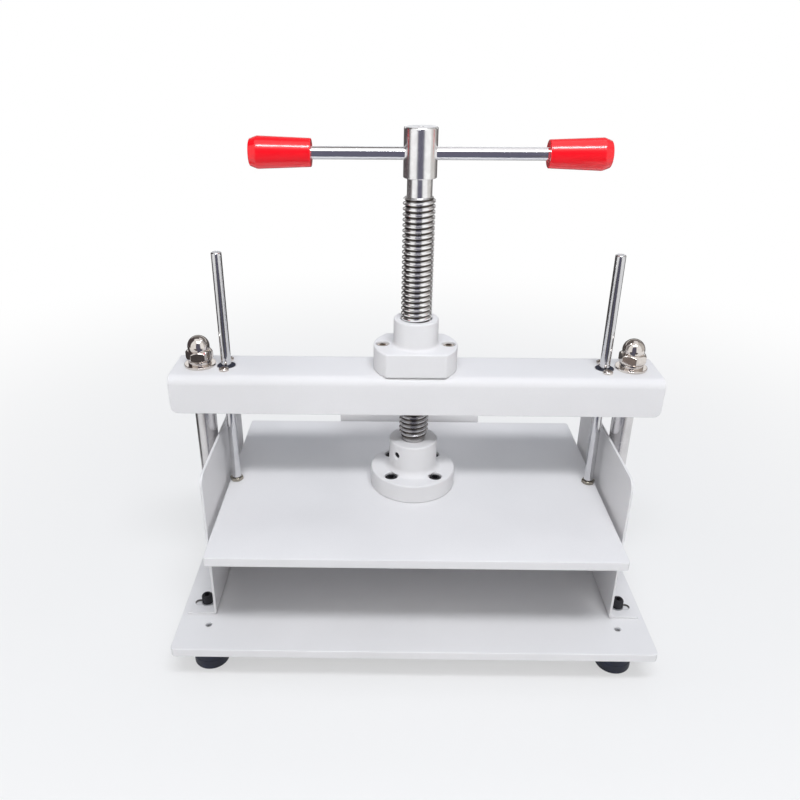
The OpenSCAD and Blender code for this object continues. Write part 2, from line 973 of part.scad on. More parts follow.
module left_grip() {
    grip(left);
}

module right_grip() {
    grip(right);
}

// The section of a bent guide: its paper face lies on the Y axis and its foot runs along +X
module guide_section() {
    bend_out = guide_bend_r + guide_t;
    difference() {
        union() {
            translate([bend_out, 0])
                square([guide_foot - bend_out, guide_t]);
            translate([0, bend_out])
                square([guide_t, guide_h - bend_out]);
            intersection() {
                translate([bend_out, bend_out])
                    circle(bend_out);
                square(bend_out);
            }
        }
        translate([bend_out, bend_out])
            circle(guide_bend_r);
    }
}

// A bent guide whose paper face lies on X = 0, with its foot on the floor plane and slots for its screws
module bent_guide(length, bolt_y) {
    difference() {
        intersection() {
            translate([0, length / 2, 0])
                rotate([90, 0, 0])
                    linear_extrude(length)
                        guide_section();
            translate([-1, 0, 0])
                rotate([90, 0, 90])
                    linear_extrude(guide_foot + 2)
                        round_top(length, guide_h, guide_r);
        }
        for (y = sides)
            translate([guide_bolt_x + slot_travel * (slot_out - 0.5), y * bolt_y, -1])
                linear_extrude(guide_t + 2)
                    slot(slot_w + slot_travel, slot_w);
    }
}

// A side guide, cut away round the post behind it
module side_guide(x) {
    color(paint)
        difference() {
            translate([x * side_guide_x, mast_y, base_top])
                mirror([x < 0 ? 1 : 0, 0, 0])
                    bent_guide(side_guide_l, side_bolt_y);
            translate([x * (side_guide_x + guide_t + guide_foot / 2), mast_y, base_top])
                cube([guide_foot, post_notch, 4 * (guide_t + guide_bend_r)], center = true);
        }
}

module left_guide() {
    side_guide(left);
}

module right_guide() {
    side_guide(right);
}

module rear_guide() {
    color(paint)
        translate([0, rear_guide_y, base_top])
            rotate([0, 0, 90])
                bent_guide(rear_guide_w, rear_bolt_span / 2);
}

module guide_bolts() {
    color(black_steel)
        at_guide_bolts()
            translate([0, 0, clamp_stack])
                socket_screw(small_bolt_d, small_head_d, small_head_h, clamp_stack + base_t);
}

module guide_lock_washers() {
    color(black_steel)
        at_guide_bolts()
            translate([0, 0, guide_t + small_washer_t])
                split_ring(small_head_d, small_bolt_d + hole_gap, lock_washer_t, 0.2 * small_bolt_d);
}

module guide_washers() {
    color(bright_steel)
        at_guide_bolts()
            translate([0, 0, guide_t])
                ring(small_washer_d, small_bolt_d + hole_gap, small_washer_t);
}

base_plate();
front_left_foot();
front_right_foot();
rear_left_foot();
rear_right_foot();
foot_screws();
foot_washers();
left_post();
right_post();
post_bolts();
post_bolt_washers();
crossbeam();
cap_nut_washers();
cap_nut_lock_washers();
left_cap_nut();
right_cap_nut();
screw_nut();
screw_nut_bolts();
left_rod_bearing();
right_rod_bearing();
bearing_seals();
bearing_screws();
platen();
hub_flange();
hub_bolts();
hub_grub_screw();
thrust_washer();
left_guide_rod();
right_guide_rod();
rod_jam_nuts();
press_screw();
handle_bar();
left_grip();
right_grip();
left_guide();
right_guide();
rear_guide();
guide_bolts();
guide_lock_washers();
guide_washers();
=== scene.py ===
# %% [markdown]
# # A hand screw press for flattening paper
#
# A painted base plate on rubber feet carries two bright posts and a folded crossbeam. A steel screw in the
# crossbeam's nut pushes a painted platen, which two polished rods keep level, and a bar with red grips turns the
# screw. The packed CAD model gives every size and place. This lesson dresses it: painted plates get soft edges,
# turned and threaded pieces get their true form, and each surface gets a finish.

import json
import math

import bmesh
import bpy
from mathutils import Matrix, Vector


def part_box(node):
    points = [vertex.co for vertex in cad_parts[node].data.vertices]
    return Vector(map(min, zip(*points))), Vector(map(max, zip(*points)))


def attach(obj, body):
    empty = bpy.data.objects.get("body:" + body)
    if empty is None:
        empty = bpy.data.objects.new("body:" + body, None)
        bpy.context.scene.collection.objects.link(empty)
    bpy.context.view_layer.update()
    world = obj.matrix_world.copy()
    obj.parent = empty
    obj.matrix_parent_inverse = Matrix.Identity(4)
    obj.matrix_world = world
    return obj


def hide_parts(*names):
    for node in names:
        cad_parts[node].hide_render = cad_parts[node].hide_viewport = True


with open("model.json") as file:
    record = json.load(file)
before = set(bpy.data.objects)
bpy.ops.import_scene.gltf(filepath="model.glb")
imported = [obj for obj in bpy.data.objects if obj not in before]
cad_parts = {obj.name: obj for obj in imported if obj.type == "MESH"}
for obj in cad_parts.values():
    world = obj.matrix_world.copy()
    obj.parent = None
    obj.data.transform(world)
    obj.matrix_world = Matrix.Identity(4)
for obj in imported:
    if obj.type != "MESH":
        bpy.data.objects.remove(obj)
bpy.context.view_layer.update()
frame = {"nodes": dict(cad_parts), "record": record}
nodes = frame["nodes"]
record = frame["record"]
body_of = {node: body for body, members in record["behaviour"]["bodies"].items() for node in members}
slot_of = {part["node"]: part["material_slot"] for part in record["subparts"]}
mm = 0.001

# %% [markdown]
# ## The camera
#
# The photograph was taken from in front and above, close to the press, so the front of the base looks wider than
# the crossbeam behind it. Posing a camera by eye is slow, so its place, tilt and focal length come from matching
# the straight edges and round parts of the press to the CAD model. The lens follows from the focal length in
# pixels of an 800 pixel image. The press stands to the right of the lens's own middle, as in a photograph that was
# cropped on its right side, and a small sideways shift of the lens gives that.

# %% Set the camera
image_width = 800
focal_pixels = 747.4
sideways_pixels = 18.9
eye = Vector((-21.8, -565.5, 463.1)) * mm
turn = math.radians(0.56)
tilt = math.radians(-25.88)
lean = math.radians(0.26)

level_right = Vector((math.cos(turn), math.sin(turn), 0))
level_ahead = Vector((-math.sin(turn), math.cos(turn), 0))
upright = Vector((0, 0, 1))
ahead = math.cos(tilt) * level_ahead + math.sin(tilt) * upright
above = math.cos(tilt) * upright - math.sin(tilt) * level_ahead
image_right = math.cos(lean) * level_right + math.sin(lean) * above
image_up = math.cos(lean) * above - math.sin(lean) * level_right

lens = bpy.data.cameras.new("photo_lens")
lens.sensor_width = 36
lens.lens = lens.sensor_width * focal_pixels / image_width
lens.shift_x = sideways_pixels / image_width
camera = bpy.data.objects.new("photo_camera", lens)
bpy.context.scene.collection.objects.link(camera)
facing = Matrix((image_right, image_up, -ahead)).transposed()
camera.matrix_world = Matrix.Translation(eye) @ facing.to_4x4()
bpy.context.scene.camera = camera
bpy.context.scene.view_settings.view_transform = "Standard"
print("lens in mm:", round(lens.lens, 2))

# %% [markdown]
# ## A shorthand for finishes
#
# A finish is a small sum over noise patterns, and wiring each sum by hand hides the idea. The class below wraps
# one socket, so that a plus or a times sign adds the Math node, and its one method adds any other node. Every
# pattern reads Object coordinates. All pieces stand at the origin with their place in the mesh, so these are
# metres in the press's own frame, and the patterns ride along when a piece moves.

# %% Wrap a shader socket
class Wire:
    """A shader socket that can be used in ordinary sums."""

    def __init__(self, tree, socket):
        self.tree = tree
        self.socket = socket

    def node(self, kind, inputs, output=0, **settings):
        """Adds any node and joins wires, numbers or colours to its inputs."""
        made = self.tree.nodes.new(kind)
        for setting, value in settings.items():
            setattr(made, setting, value)
        for name, value in inputs.items():
            if isinstance(value, Wire):
                self.tree.links.new(value.socket, made.inputs[name])
            else:
                made.inputs[name].default_value = value
        return Wire(self.tree, made.outputs[output])

    def sum(self, operation, first, second):
        return self.node("ShaderNodeMath", {0: first, 1: second}, operation=operation)

    def __add__(self, other):
        return self.sum("ADD", self, other)

    def __radd__(self, other):
        return self.sum("ADD", other, self)

    def __sub__(self, other):
        return self.sum("SUBTRACT", self, other)

    def __rsub__(self, other):
        return self.sum("SUBTRACT", other, self)

    def __mul__(self, other):
        return self.sum("MULTIPLY", self, other)

    def __rmul__(self, other):
        return self.sum("MULTIPLY", other, self)

    def __pow__(self, other):
        return self.sum("POWER", self, other)


def source(tree, kind, output):
    """The output of a node that needs no inputs."""
    return Wire(tree, tree.nodes.new(kind).outputs[output])


def coordinate(where, axis):
    """One coordinate of a place or a direction: 0, 1 or 2 for x, y or z."""
    return where.node("ShaderNodeSeparateXYZ", {0: where}, output=axis)


def band(wire, low, high):
    """0 below low, 1 above high and a smooth step between."""
    return wire.node(
        "ShaderNodeMapRange", {0: wire, 1: low, 2: high, 3: 0.0, 4: 1.0}, interpolation_type="SMOOTHSTEP"
    )


print("sums:", [name for name in vars(Wire) if name.startswith("__r")])

# %% [markdown]
# ## A floor without a horizon
#
# A studio floor runs up into the wall as one sheet of paper, so no line shows behind the object. Here the floor is
# plain pale paint that catches the shadow of the press, and it fades into the surround's white further out. The
# white is for the eye and for reflections only, so it adds no light to the press.

# %% Lay the floor
def stage_sheet(name, corners, colour):
    """A flat sheet for the stage between four corners."""
    bpy.ops.object.select_all(action="DESELECT")
    bpy.ops.mesh.primitive_plane_add(size=1)
    sheet = bpy.context.object
    sheet.name = name
    for index, corner in zip(sheet.data.polygons[0].vertices, corners):
        sheet.data.vertices[index].co = corner
    surface = bpy.data.materials.new(name)
    surface.use_nodes = True
    shader = surface.node_tree.nodes["Principled BSDF"]
    shader.inputs["Base Color"].default_value = (*colour, 1)
    shader.inputs["Roughness"].default_value = 0.9
    shader.inputs["Specular IOR Level"].default_value = 0.0
    sheet.data.materials.append(surface)
    return sheet


def seen_only(tree):
    """1 for the camera and for reflections, 0 for the light that falls on things."""
    camera_ray = source(tree, "ShaderNodeLightPath", "Is Camera Ray")
    return camera_ray.sum("MAXIMUM", camera_ray, source(tree, "ShaderNodeLightPath", "Is Glossy Ray"))


floor_reach = 8.0
pale = (0.78, 0.78, 0.785)
white_share = 0.5
fade_start, fade_end = 0.15, 1.1
floor_corners = [(x * floor_reach, y * floor_reach, 0) for x, y in ((-1, -1), (1, -1), (1, 1), (-1, 1))]
floor = stage_sheet("floor", floor_corners, pale)
tree = floor.data.materials[0].node_tree
place = source(tree, "ShaderNodeTexCoord", "Object")
away = place.node("ShaderNodeVectorMath", {0: place}, output=1, operation="LENGTH")
white = place.node("ShaderNodeEmission", {"Color": (1, 1, 1, 1), "Strength": 1.0})
plain = Wire(tree, tree.nodes["Principled BSDF"].outputs[0])
share = seen_only(tree) * (white_share + (1 - white_share) * band(away, fade_start, fade_end))
faded = place.node("ShaderNodeMixShader", {0: share, 1: plain, 2: white})
tree.links.new(faded.socket, tree.nodes["Material Output"].inputs["Surface"])
print("floor:", floor.name)

# %% [markdown]
# ## Studio light
#
# The main light is a long, narrow soft box above the camera. Its place follows from where the shadows of the
# crossbeam and the platen fall, its depth from how soft their edges are, and its width from the length of the
# highlights on the grips. A wide box further forward and a low one in front light the upright fronts, two weak ones
# lift the sides, and one behind the press lights the tops. A flat box just above the floor in front makes the white
# table throw light up at the fronts. The rest is even, slightly cool light from above. All but the first only fill
# in, so the bright metal does not mirror them.

# %% Light the studio
def soft_box(name, place, width, height, power, colour, mirrored=False, aim=(0, 0, 0.12)):
    """A rectangular light at a place, turned towards the middle of the press or another aim."""
    glow = bpy.data.lights.new(name, "AREA")
    glow.shape = "RECTANGLE"
    glow.size = width
    glow.size_y = height
    glow.energy = power
    glow.color = colour
    box = bpy.data.objects.new(name, glow)
    bpy.context.scene.collection.objects.link(box)
    box.location = place
    box.rotation_euler = (Vector(aim) - Vector(place)).to_track_quat("-Z", "Y").to_euler()
    box.visible_camera = False
    box.visible_glossy = mirrored


cool, warm = (0.955, 0.97, 1.0), (1.0, 0.975, 0.94)
soft_box("main_box", (0.075, -0.66, 1.35), 0.75, 0.20, 11.0, cool, mirrored=True)
soft_box("wide_box", (0.10, -1.15, 1.30), 1.4, 0.6, 3.0, warm)
soft_box("low_box", (0.10, -2.60, 0.30), 0.9, 0.5, 9.5, warm)
soft_box("left_box", (-1.50, -0.10, 0.62), 0.6, 0.5, 4.0, warm)
soft_box("right_box", (1.50, -0.10, 0.62), 0.6, 0.5, 2.6, warm)
soft_box("rear_box", (0.0, 0.95, 1.30), 1.2, 0.5, 2.6, cool)
soft_box("table_box", (0.0, -0.55, 0.09), 0.7, 0.4, 0.4, warm, aim=(0.0, -0.55, 0.0))

low_strength, high_strength = 0.03, 0.57
surround = bpy.data.worlds.new("studio")
surround.use_nodes = True
bpy.context.scene.world = surround
tree = surround.node_tree
direction = source(tree, "ShaderNodeTexCoord", "Generated")
up = coordinate(direction, 2)
low_light = up.node("ShaderNodeBackground", {"Color": (1.0, 0.98, 0.95, 1), "Strength": low_strength})
high_light = up.node("ShaderNodeBackground", {"Color": (0.83, 0.90, 1.0, 1), "Strength": high_strength})
backdrop = up.node("ShaderNodeBackground", {"Color": (1, 1, 1, 1), "Strength": 1.0})
around = up.node("ShaderNodeMixShader", {0: band(up, 0.2, 1.0), 1: low_light, 2: high_light})
shown = up.node("ShaderNodeMixShader", {0: seen_only(tree), 1: around, 2: backdrop})
tree.links.new(shown.socket, tree.nodes["World Output"].inputs["Surface"])

# %% [markdown]
# ## Cards for the bright metal
#
# Bright steel only looks like steel when it has something dark to reflect. In the photograph its parts show a dark
# stripe in the middle, from the room behind the camera, and dark edges, where they mirror the room behind the press.
# Grey cards stand in for these, as they would in a studio: one in front, some round the sides and the back, some on
# the floor. A window between the two cards at the back keeps washers and other flat tops white. The roof over the
# back is dark on the left and pale on the right, as the sides of the domed nuts are. Each card has an even tone of
# its own, shows in reflections only and gives no light and no shade.

# %% Set up the cards
def card(name, corners, tone):
    """A sheet that only reflections see."""
    sheet = stage_sheet(name, corners, (0, 0, 0))
    shader = sheet.data.materials[0].node_tree.nodes["Principled BSDF"]
    shader.inputs["Emission Color"].default_value = (*tone, 1)
    shader.inputs["Emission Strength"].default_value = 1.0
    sheet.visible_camera = False
    sheet.visible_diffuse = False
    sheet.visible_shadow = False


def wall(name, start, end, low, top, tone):
    """An upright card on the line between two points on the floor."""
    (x0, y0), (x1, y1) = start, end
    card(name, [(x0, y0, low), (x1, y1, low), (x1, y1, top), (x0, y0, top)], tone)


def patch(name, start, end, tone, height=3 * mm):
    """A card that lies on the floor, or just above another one, between two corners."""
    (x0, y0), (x1, y1) = start, end
    card(name, [(x0, y0, height), (x1, y0, height), (x1, y1, height), (x0, y1, height)], tone)


room_side, room_back, room_top = 1.4, 1.3, 2.4
window_low, window_high = 0.66, 0.92
roof_front, roof_middle = 0.30, 0.1
right_turn = 0.56
wall("front_card", (-0.33, -0.76), (0.31, -0.76), 0.0, 0.95, (0.125, 0.12, 0.165))
patch("front_patch", (-0.62, -1.20), (0.52, -0.50), (0.085, 0.078, 0.078))
patch("near_patch", (-0.36, -0.50), (0.36, -0.36), (0.27, 0.23, 0.215))
patch("middle_patch", (-0.20, -1.20), (0.20, -0.18), (0.12, 0.122, 0.165), height=4 * mm)
patch("left_patch", (-1.30, -0.03), (-0.38, 0.42), (0.06, 0.055, 0.055))
wall("left_card", (-room_side, -0.38), (-room_side, room_back), 0.0, room_top, (0.085, 0.07, 0.075))
back_left, back_right = (-room_side, room_back), (room_side, room_back)
wall("low_rear_card", back_left, back_right, 0.0, window_low, (0.11, 0.10, 0.10))
wall("high_rear_card", back_left, back_right, window_high, room_top, (0.20, 0.185, 0.18))
wall("right_rear_card", back_right, (room_side, right_turn), 0.0, room_top, (0.28, 0.265, 0.26))
wall("right_card", (room_side, right_turn), (room_side, -0.50), 0.0, room_top, (0.62, 0.60, 0.58))
patch("rear_patch", (-1.3, 0.32), (1.3, 1.28), (0.085, 0.08, 0.08))
patch("left_roof_card", (-room_side, roof_front), (roof_middle, room_back), (0.14, 0.125, 0.12), height=room_top)
patch("right_roof_card", (roof_middle, roof_front), (room_side, room_back), (0.90, 0.88, 0.90), height=room_top)

# %% [markdown]
# ## Helpers for finishes
#
# Each finish starts as a material whose unchanging values stand on the shader itself. Noise feeds the rest, and a
# screen colour from 0 to 255 is turned into the light that it stands for.

# %% Write the helpers for finishes
finishes = {}


def linear(red, green, blue):
    """The light that a screen colour of 0 to 255 stands for."""
    shares = [value / 255 for value in (red, green, blue)]
    return tuple(v / 12.92 if v <= 0.04045 else ((v + 0.055) / 1.055) ** 2.4 for v in shares) + (1.0,)


def start_finish(slot, fixed):
    """A new material whose unchanging values stand on the shader itself, and the place on the press as a wire."""
    material = bpy.data.materials.new(slot)
    material.use_nodes = True
    tree = material.node_tree
    shader = tree.nodes["Principled BSDF"]
    for socket, value in fixed.items():
        shader.inputs[socket].default_value = value
    finishes[slot] = material
    return shader, source(tree, "ShaderNodeTexCoord", "Object")


def feed(shader, socket, wire):
    """Joins a wire to one of the shader's sockets."""
    wire.tree.links.new(wire.socket, shader.inputs[socket])


def noise(where, scale, detail=2.0, roughness=0.5):
    """A soft random pattern from 0 to 1."""
    return where.node(
        "ShaderNodeTexNoise", {"Vector": where, "Scale": scale, "Detail": detail, "Roughness": roughness}
    )


def stretched(where, x, y, z):
    """The same place with each direction scaled, so that a pattern is drawn out along the small ones."""
    return where.node("ShaderNodeMapping", {"Vector": where, "Scale": (x, y, z)})


def between(share, first, second):
    """A colour between two colours."""
    return share.node("ShaderNodeMix", {0: share, 6: first, 7: second}, output=2, data_type="RGBA")


def relief(height, strength, depth):
    """The bent direction of a surface with small hills of this height."""
    return height.node("ShaderNodeBump", {"Height": height, "Strength": strength, "Distance": depth})


def facing_up(where):
    """1 on faces that look straight up, such as the sawn and faced end of a bar."""
    normal = source(where.tree, "ShaderNodeTexCoord", "Normal")
    return band(coordinate(normal, 2), 0.90, 0.98)


print("middle grey is a light of", round(linear(128, 128, 128)[0], 3))

# %% [markdown]
# ## Light grey powder coat
#
# The plates, the nut and the hub are sprayed with powder and baked. Up close such a coat has a faint ripple like
# orange peel and a satin shine that differs a little from place to place. A small bump on 2 mm noise gives the
# ripple, a slow noise changes the shine, and the colour drifts by about one part in a hundred. Where a wall lies in
# shade, a dark grey painted shade goes on the coat. A piece that needs this gets a coat of its own, with a sum that
# says where.

# %% Mix the powder coat
def powder_coat(name, painted_shade=None):
    """The coat, with a dark grey painted shade where a sum over the place says so."""
    paint, where = start_finish(name, {"Specular IOR Level": 0.22})
    drift = noise(where, 9.0, 3.0)
    speckle = noise(where, 1400.0, 2.0)
    peel = noise(where, 420.0, 2.0)
    tone = band(drift * 0.75 + speckle * 0.25, 0.3, 0.7)
    colour = between(tone, linear(224, 223, 224), linear(230, 229, 230))
    # The dark grey below is painted shade, laid where the given sum says.
    if painted_shade:
        colour = between(painted_shade(where), colour, linear(112, 110, 108))
    feed(paint, "Base Color", colour)
    feed(paint, "Roughness", 0.46 + 0.14 * noise(where, 30.0, 3.0))
    feed(paint, "Normal", relief(peel, 0.10, 0.15 * mm))
    print("finish:", name)


powder_coat("grey_paint")

# %% [markdown]
# ## Black rubber
#
# The moulded feet are dull and a little dusty. The colour is nearly black, a fine bump breaks up the shine, and a
# soft noise lifts the colour where dust sits.

# %% Mix the rubber
rubber, where = start_finish("rubber", {"Specular IOR Level": 0.4})
dust = band(noise(where, 120.0, 4.0, 0.65), 0.45, 0.8)
feed(rubber, "Base Color", between(dust, linear(28, 31, 46), linear(48, 53, 74)))
feed(rubber, "Roughness", 0.55 + 0.2 * dust)
feed(rubber, "Normal", relief(noise(where, 2600.0, 2.0), 0.25, 0.05 * mm))
print("finish:", finishes["rubber"].name)

# %% [markdown]
# ## Bright metals
#
# Posts, rods, bar, nuts and washers are bare or plated steel. They differ in colour, in how sharp their
# reflections are, and in the marks that the machine left. Turning and grinding leave rings round the axis, which
# are noise drawn out along the other two directions. One function makes each of them from those few values. The
# rods are a little greyer than the bar, and their lock nuts have lost their shine, so both get a metal of their own.

# %% Mix the bright metals
def bright_metal(slot, dull, clean, smooth, rough, rings, ring_scale, ring_depth, ends=0.0):
    """A metal with rings across one axis, a cloudy tarnish, a few soft wipe marks and dull end faces."""
    shader, where = start_finish(slot, {})
    marks = noise(stretched(where, *rings), ring_scale, 3.0, 0.6)
    cloud = noise(where, 45.0, 3.0)
    feed(shader, "Base Color", between(band(cloud * 0.6 + marks * 0.4, 0.35, 0.65), dull, clean))
    sawn = ends * facing_up(where)
    feed(shader, "Metallic", 1.0 - 0.6 * sawn)
    feed(shader, "Roughness", smooth + (rough - smooth) * (0.5 * cloud + 0.5 * marks) + 0.3 * sawn)
    feed(shader, "Normal", relief(marks, ring_depth, 0.02 * mm))
    print("finish:", slot)


upright_rings = (0.02, 0.02, 1.0)
fine_marks = (0.6, 0.6, 0.6)
even_marks = (1.0, 1.0, 1.0)
bright_metal("ground_steel", linear(204, 202, 203), linear(220, 218, 219), 0.20, 0.32, upright_rings, 2600.0, 0.12)
for slot, dull, clean, least_rough, most_rough in (
    ("polished_steel", linear(243, 243, 245), linear(250, 250, 251), 0.08, 0.14),
    ("rod_steel", linear(206, 206, 208), linear(218, 218, 219), 0.10, 0.18),
):
    bright_metal(slot, dull, clean, least_rough, most_rough, fine_marks, 260.0, 0.03, ends=1.0)
bright_metal("nickel", linear(208, 200, 194), linear(226, 220, 215), 0.05, 0.11, even_marks, 320.0, 0.05)
bright_metal("dull_nickel", linear(140, 134, 124), linear(170, 164, 152), 0.14, 0.26, even_marks, 320.0, 0.05)
bright_metal("plated_steel", linear(176, 178, 182), linear(202, 204, 206), 0.18, 0.40, even_marks, 500.0, 0.12)
bright_metal("bronze", linear(168, 130, 80), linear(196, 158, 102), 0.20, 0.38, upright_rings, 1800.0, 0.15)

# %% [markdown]
# ## The screw's turned steel
#
# The press screw is bright where the nut and the hand rub it, and a film of oil together with painted shade darkens
# the bottom of its thread. The distance from the screw's axis says how deep in the thread a point lies, so that
# distance drives both the colour and the shine. Below the nut the dark band reaches further up the flanks, and the
# bare steel is greyer there.

# %% Mix the screw's steel
screw_low, screw_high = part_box("press_screw")
screw_axis = (screw_low + screw_high) / 2
thread_r = 12.0 * mm
thread_depth = 1.8 * mm
root_r = thread_r - thread_depth
thread_start, thread_end = (0.1625, 0.1640), (0.3585, 0.3600)
under_nut, head_top = (0.188, 0.200), (0.40, 0.402)

screw_steel, where = start_finish("screw_steel", {})
x, y, z = (coordinate(where, axis) for axis in range(3))
radius = (x * x + (y - screw_axis.y) * (y - screw_axis.y)) ** 0.5
threaded = band(z, *thread_start) * (1.0 - band(z, *thread_end))
below_nut = 1.0 - band(z, *under_nut)
# Oil together with painted shade darkens the root of the thread, over a wider band below the nut.
oil_and_groove_shade = threaded * (1.0 - band(radius, root_r + 0.05 * mm, root_r + 0.6 * mm + 0.7 * mm * below_nut))
smear = noise(where, 160.0, 3.0)
turning = noise(stretched(where, *upright_rings), 3000.0, 3.0, 0.6)
bare = between(band(smear, 0.35, 0.7), linear(241, 240, 240), linear(249, 249, 249))
# This dark colour stands for oil and for painted shade in the grooves.
oiled_and_shaded = between(smear, linear(66, 62, 60), linear(110, 104, 98))
# The bare steel is greyer below the nut.
bare_darker_below_nut = between(0.4 * below_nut, bare, linear(120, 114, 114))
feed(screw_steel, "Base Color", between(oil_and_groove_shade, bare_darker_below_nut, oiled_and_shaded))
feed(screw_steel, "Metallic", 1.0 - 0.6 * facing_up(where) * band(z, *head_top))
feed(screw_steel, "Roughness", 0.20 + 0.06 * turning - 0.07 * threaded + 0.14 * oil_and_groove_shade + 0.25 * facing_up(where))
feed(screw_steel, "Normal", relief(turning, 0.10, 0.02 * mm))
print("finish:", finishes["screw_steel"].name)

# %% [markdown]
# ## Black oxide and red plastic
#
# The hub's and guides' screws are blackened steel: dark, a little glossy, with a dry film of oil. The grips are
# moulded in red plastic with a high shine, so a clear coat lies over a colour that hardly varies, and a very
# slight waviness keeps the reflections from looking perfect.

# %% Mix the black oxide and the red plastic
black, where = start_finish("black_steel", {"Metallic": 0.55})
film = noise(where, 260.0, 3.0)
feed(black, "Base Color", between(film, linear(30, 30, 33), linear(58, 58, 62)))
feed(black, "Roughness", 0.30 + 0.22 * film)
feed(black, "Normal", relief(noise(where, 3200.0, 2.0), 0.12, 0.02 * mm))

glossy = {"Coat Weight": 0.6, "Coat Roughness": 0.05, "Specular IOR Level": 0.4}
plastic, where = start_finish("red_plastic", glossy)
flow = noise(stretched(where, 0.35, 1.0, 1.0), 70.0, 3.0)
feed(plastic, "Base Color", between(flow, linear(246, 6, 26), linear(252, 12, 32)))
feed(plastic, "Roughness", 0.22 + 0.10 * flow)
feed(plastic, "Normal", relief(noise(where, 240.0, 2.0), 0.05, 0.1 * mm))
print("finishes:", sorted(finishes))

# %% [markdown]
# ## Plates with soft edges
#
# Base and platen are flat painted plates. A cube at the CAD node's size is the natural start. Its upright edges
# are rounded to the plate's corner radius, and then a narrow bevel goes round every edge, because paint flows round
# an edge and leaves a thin bright line there. A large flat face next to such a bevel needs weighted normals, or its
# shading would lean over like a pillow.

# %% Block out the plates
def block(name, low, high):
    """A block between two corners, as a start for a plate or to cut with."""
    low, high = Vector(low), Vector(high)
    bpy.ops.object.select_all(action="DESELECT")
    bpy.ops.mesh.primitive_cube_add(size=1, location=(low + high) / 2, scale=high - low)
    made = bpy.context.object
    made.name = name
    bpy.ops.object.transform_apply(location=True, rotation=True, scale=True)
    return made


base = block("base_painted", *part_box("base_plate"))
platen = block("platen_painted", *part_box("platen"))
print("plates:", base.name, platen.name)

# %% Round the plates
def choose(piece):
    """Makes one object the only selected one, and the active one."""
    bpy.ops.object.select_all(action="DESELECT")
    piece.select_set(True)
    bpy.context.view_layer.objects.active = piece


def round_edges(piece, radius, segments, picked):
    """Rounds the edges that a test of their middle and direction picks."""
    choose(piece)
    bpy.ops.object.mode_set(mode="EDIT")
    bpy.ops.mesh.select_mode(type="EDGE")
    bpy.ops.mesh.select_all(action="DESELECT")
    shape = bmesh.from_edit_mesh(piece.data)
    for edge in shape.edges:
        start, end = (corner.co for corner in edge.verts)
        edge.select_set(picked((start + end) / 2, (end - start).normalized()))
    bmesh.update_edit_mesh(piece.data)
    bpy.ops.mesh.bevel(offset=radius, offset_type="OFFSET", segments=segments, profile=0.5, affect="EDGES")
    bpy.ops.object.mode_set(mode="OBJECT")


def soften(piece, width, segments=3, angle=40):
    """Puts a narrow round on every true edge."""
    choose(piece)
    bevel = piece.modifiers.new("edge", "BEVEL")
    bevel.width = width
    bevel.segments = segments
    bevel.limit_method = "ANGLE"
    bevel.angle_limit = math.radians(angle)
    bevel.use_clamp_overlap = False
    bpy.ops.object.modifier_apply(modifier="edge")


paint_edge = 0.7 * mm
for piece, plate_corner_r in ((base, 4.0 * mm), (platen, 2.5 * mm)):
    round_edges(piece, plate_corner_r, 6, lambda middle, way: abs(way.z) > 0.9)
    soften(piece, paint_edge)
    print(piece.name, "has", len(piece.data.polygons), "faces")

# %% [markdown]
# ## Holes
#
# The holes belong to the CAD model's screws, so their places are read from the screws' own solids. A CAD mesh is
# loose triangles: a copy of it is merged and split into its separate solids, and the box of each gives the place.
# A hole is cut with a turned drill, whose outline flares at both ends so that the hole gets a small countersink. The
# outline is drawn point by point and spun round the axis, and a Boolean modifier takes the drill out of the plate.

# %% Find the screws
weld = 0.001 * mm


def solids_of(node):
    """The lowest and highest corner of each separate solid in a CAD node."""
    choose(nodes[node])
    bpy.ops.object.duplicate()
    bpy.ops.object.mode_set(mode="EDIT")
    bpy.ops.mesh.select_all(action="SELECT")
    bpy.ops.mesh.remove_doubles(threshold=weld)
    bpy.ops.mesh.separate(type="LOOSE")
    bpy.ops.object.mode_set(mode="OBJECT")
    boxes = []
    for solid in bpy.context.selected_objects:
        points = [vertex.co for vertex in solid.data.vertices]
        low = Vector([min(point[axis] for point in points) for axis in range(3)])
        high = Vector([max(point[axis] for point in points) for axis in range(3)])
        boxes.append((low, high))
    bpy.ops.object.delete()
    return sorted(boxes, key=lambda box: (round(box[0].x, 4), round(box[0].y, 4)))


def tops_of(node):
    """The middle of each separate solid, at its top."""
    return [Vector(((low.x + high.x) / 2, (low.y + high.y) / 2, high.z)) for low, high in solids_of(node)]


base_screws = tops_of("foot_screws") + tops_of("guide_bolts")
platen_screws = tops_of("hub_bolts") + tops_of("rod_jam_nuts")
print("screws in the base:", len(base_screws), "and in the platen:", len(platen_screws))

# %% Turn a drill
def draw(name, corners):
    """Draws a line from corner to corner, by pulling one point along, and stays in edit mode."""
    bpy.ops.object.select_all(action="DESELECT")
    bpy.ops.mesh.primitive_plane_add(size=mm)
    piece = bpy.context.object
    piece.name = name
    bpy.ops.object.mode_set(mode="EDIT")
    bpy.ops.mesh.select_mode(type="VERT")
    bpy.ops.mesh.select_all(action="SELECT")
    bpy.ops.mesh.merge(type="CENTER")
    bpy.ops.transform.translate(value=corners[0])
    for here, there in zip(corners, corners[1:]):
        bpy.ops.mesh.extrude_region_move(TRANSFORM_OT_translate={"value": there - here})
    bpy.ops.mesh.select_all(action="SELECT")
    return piece


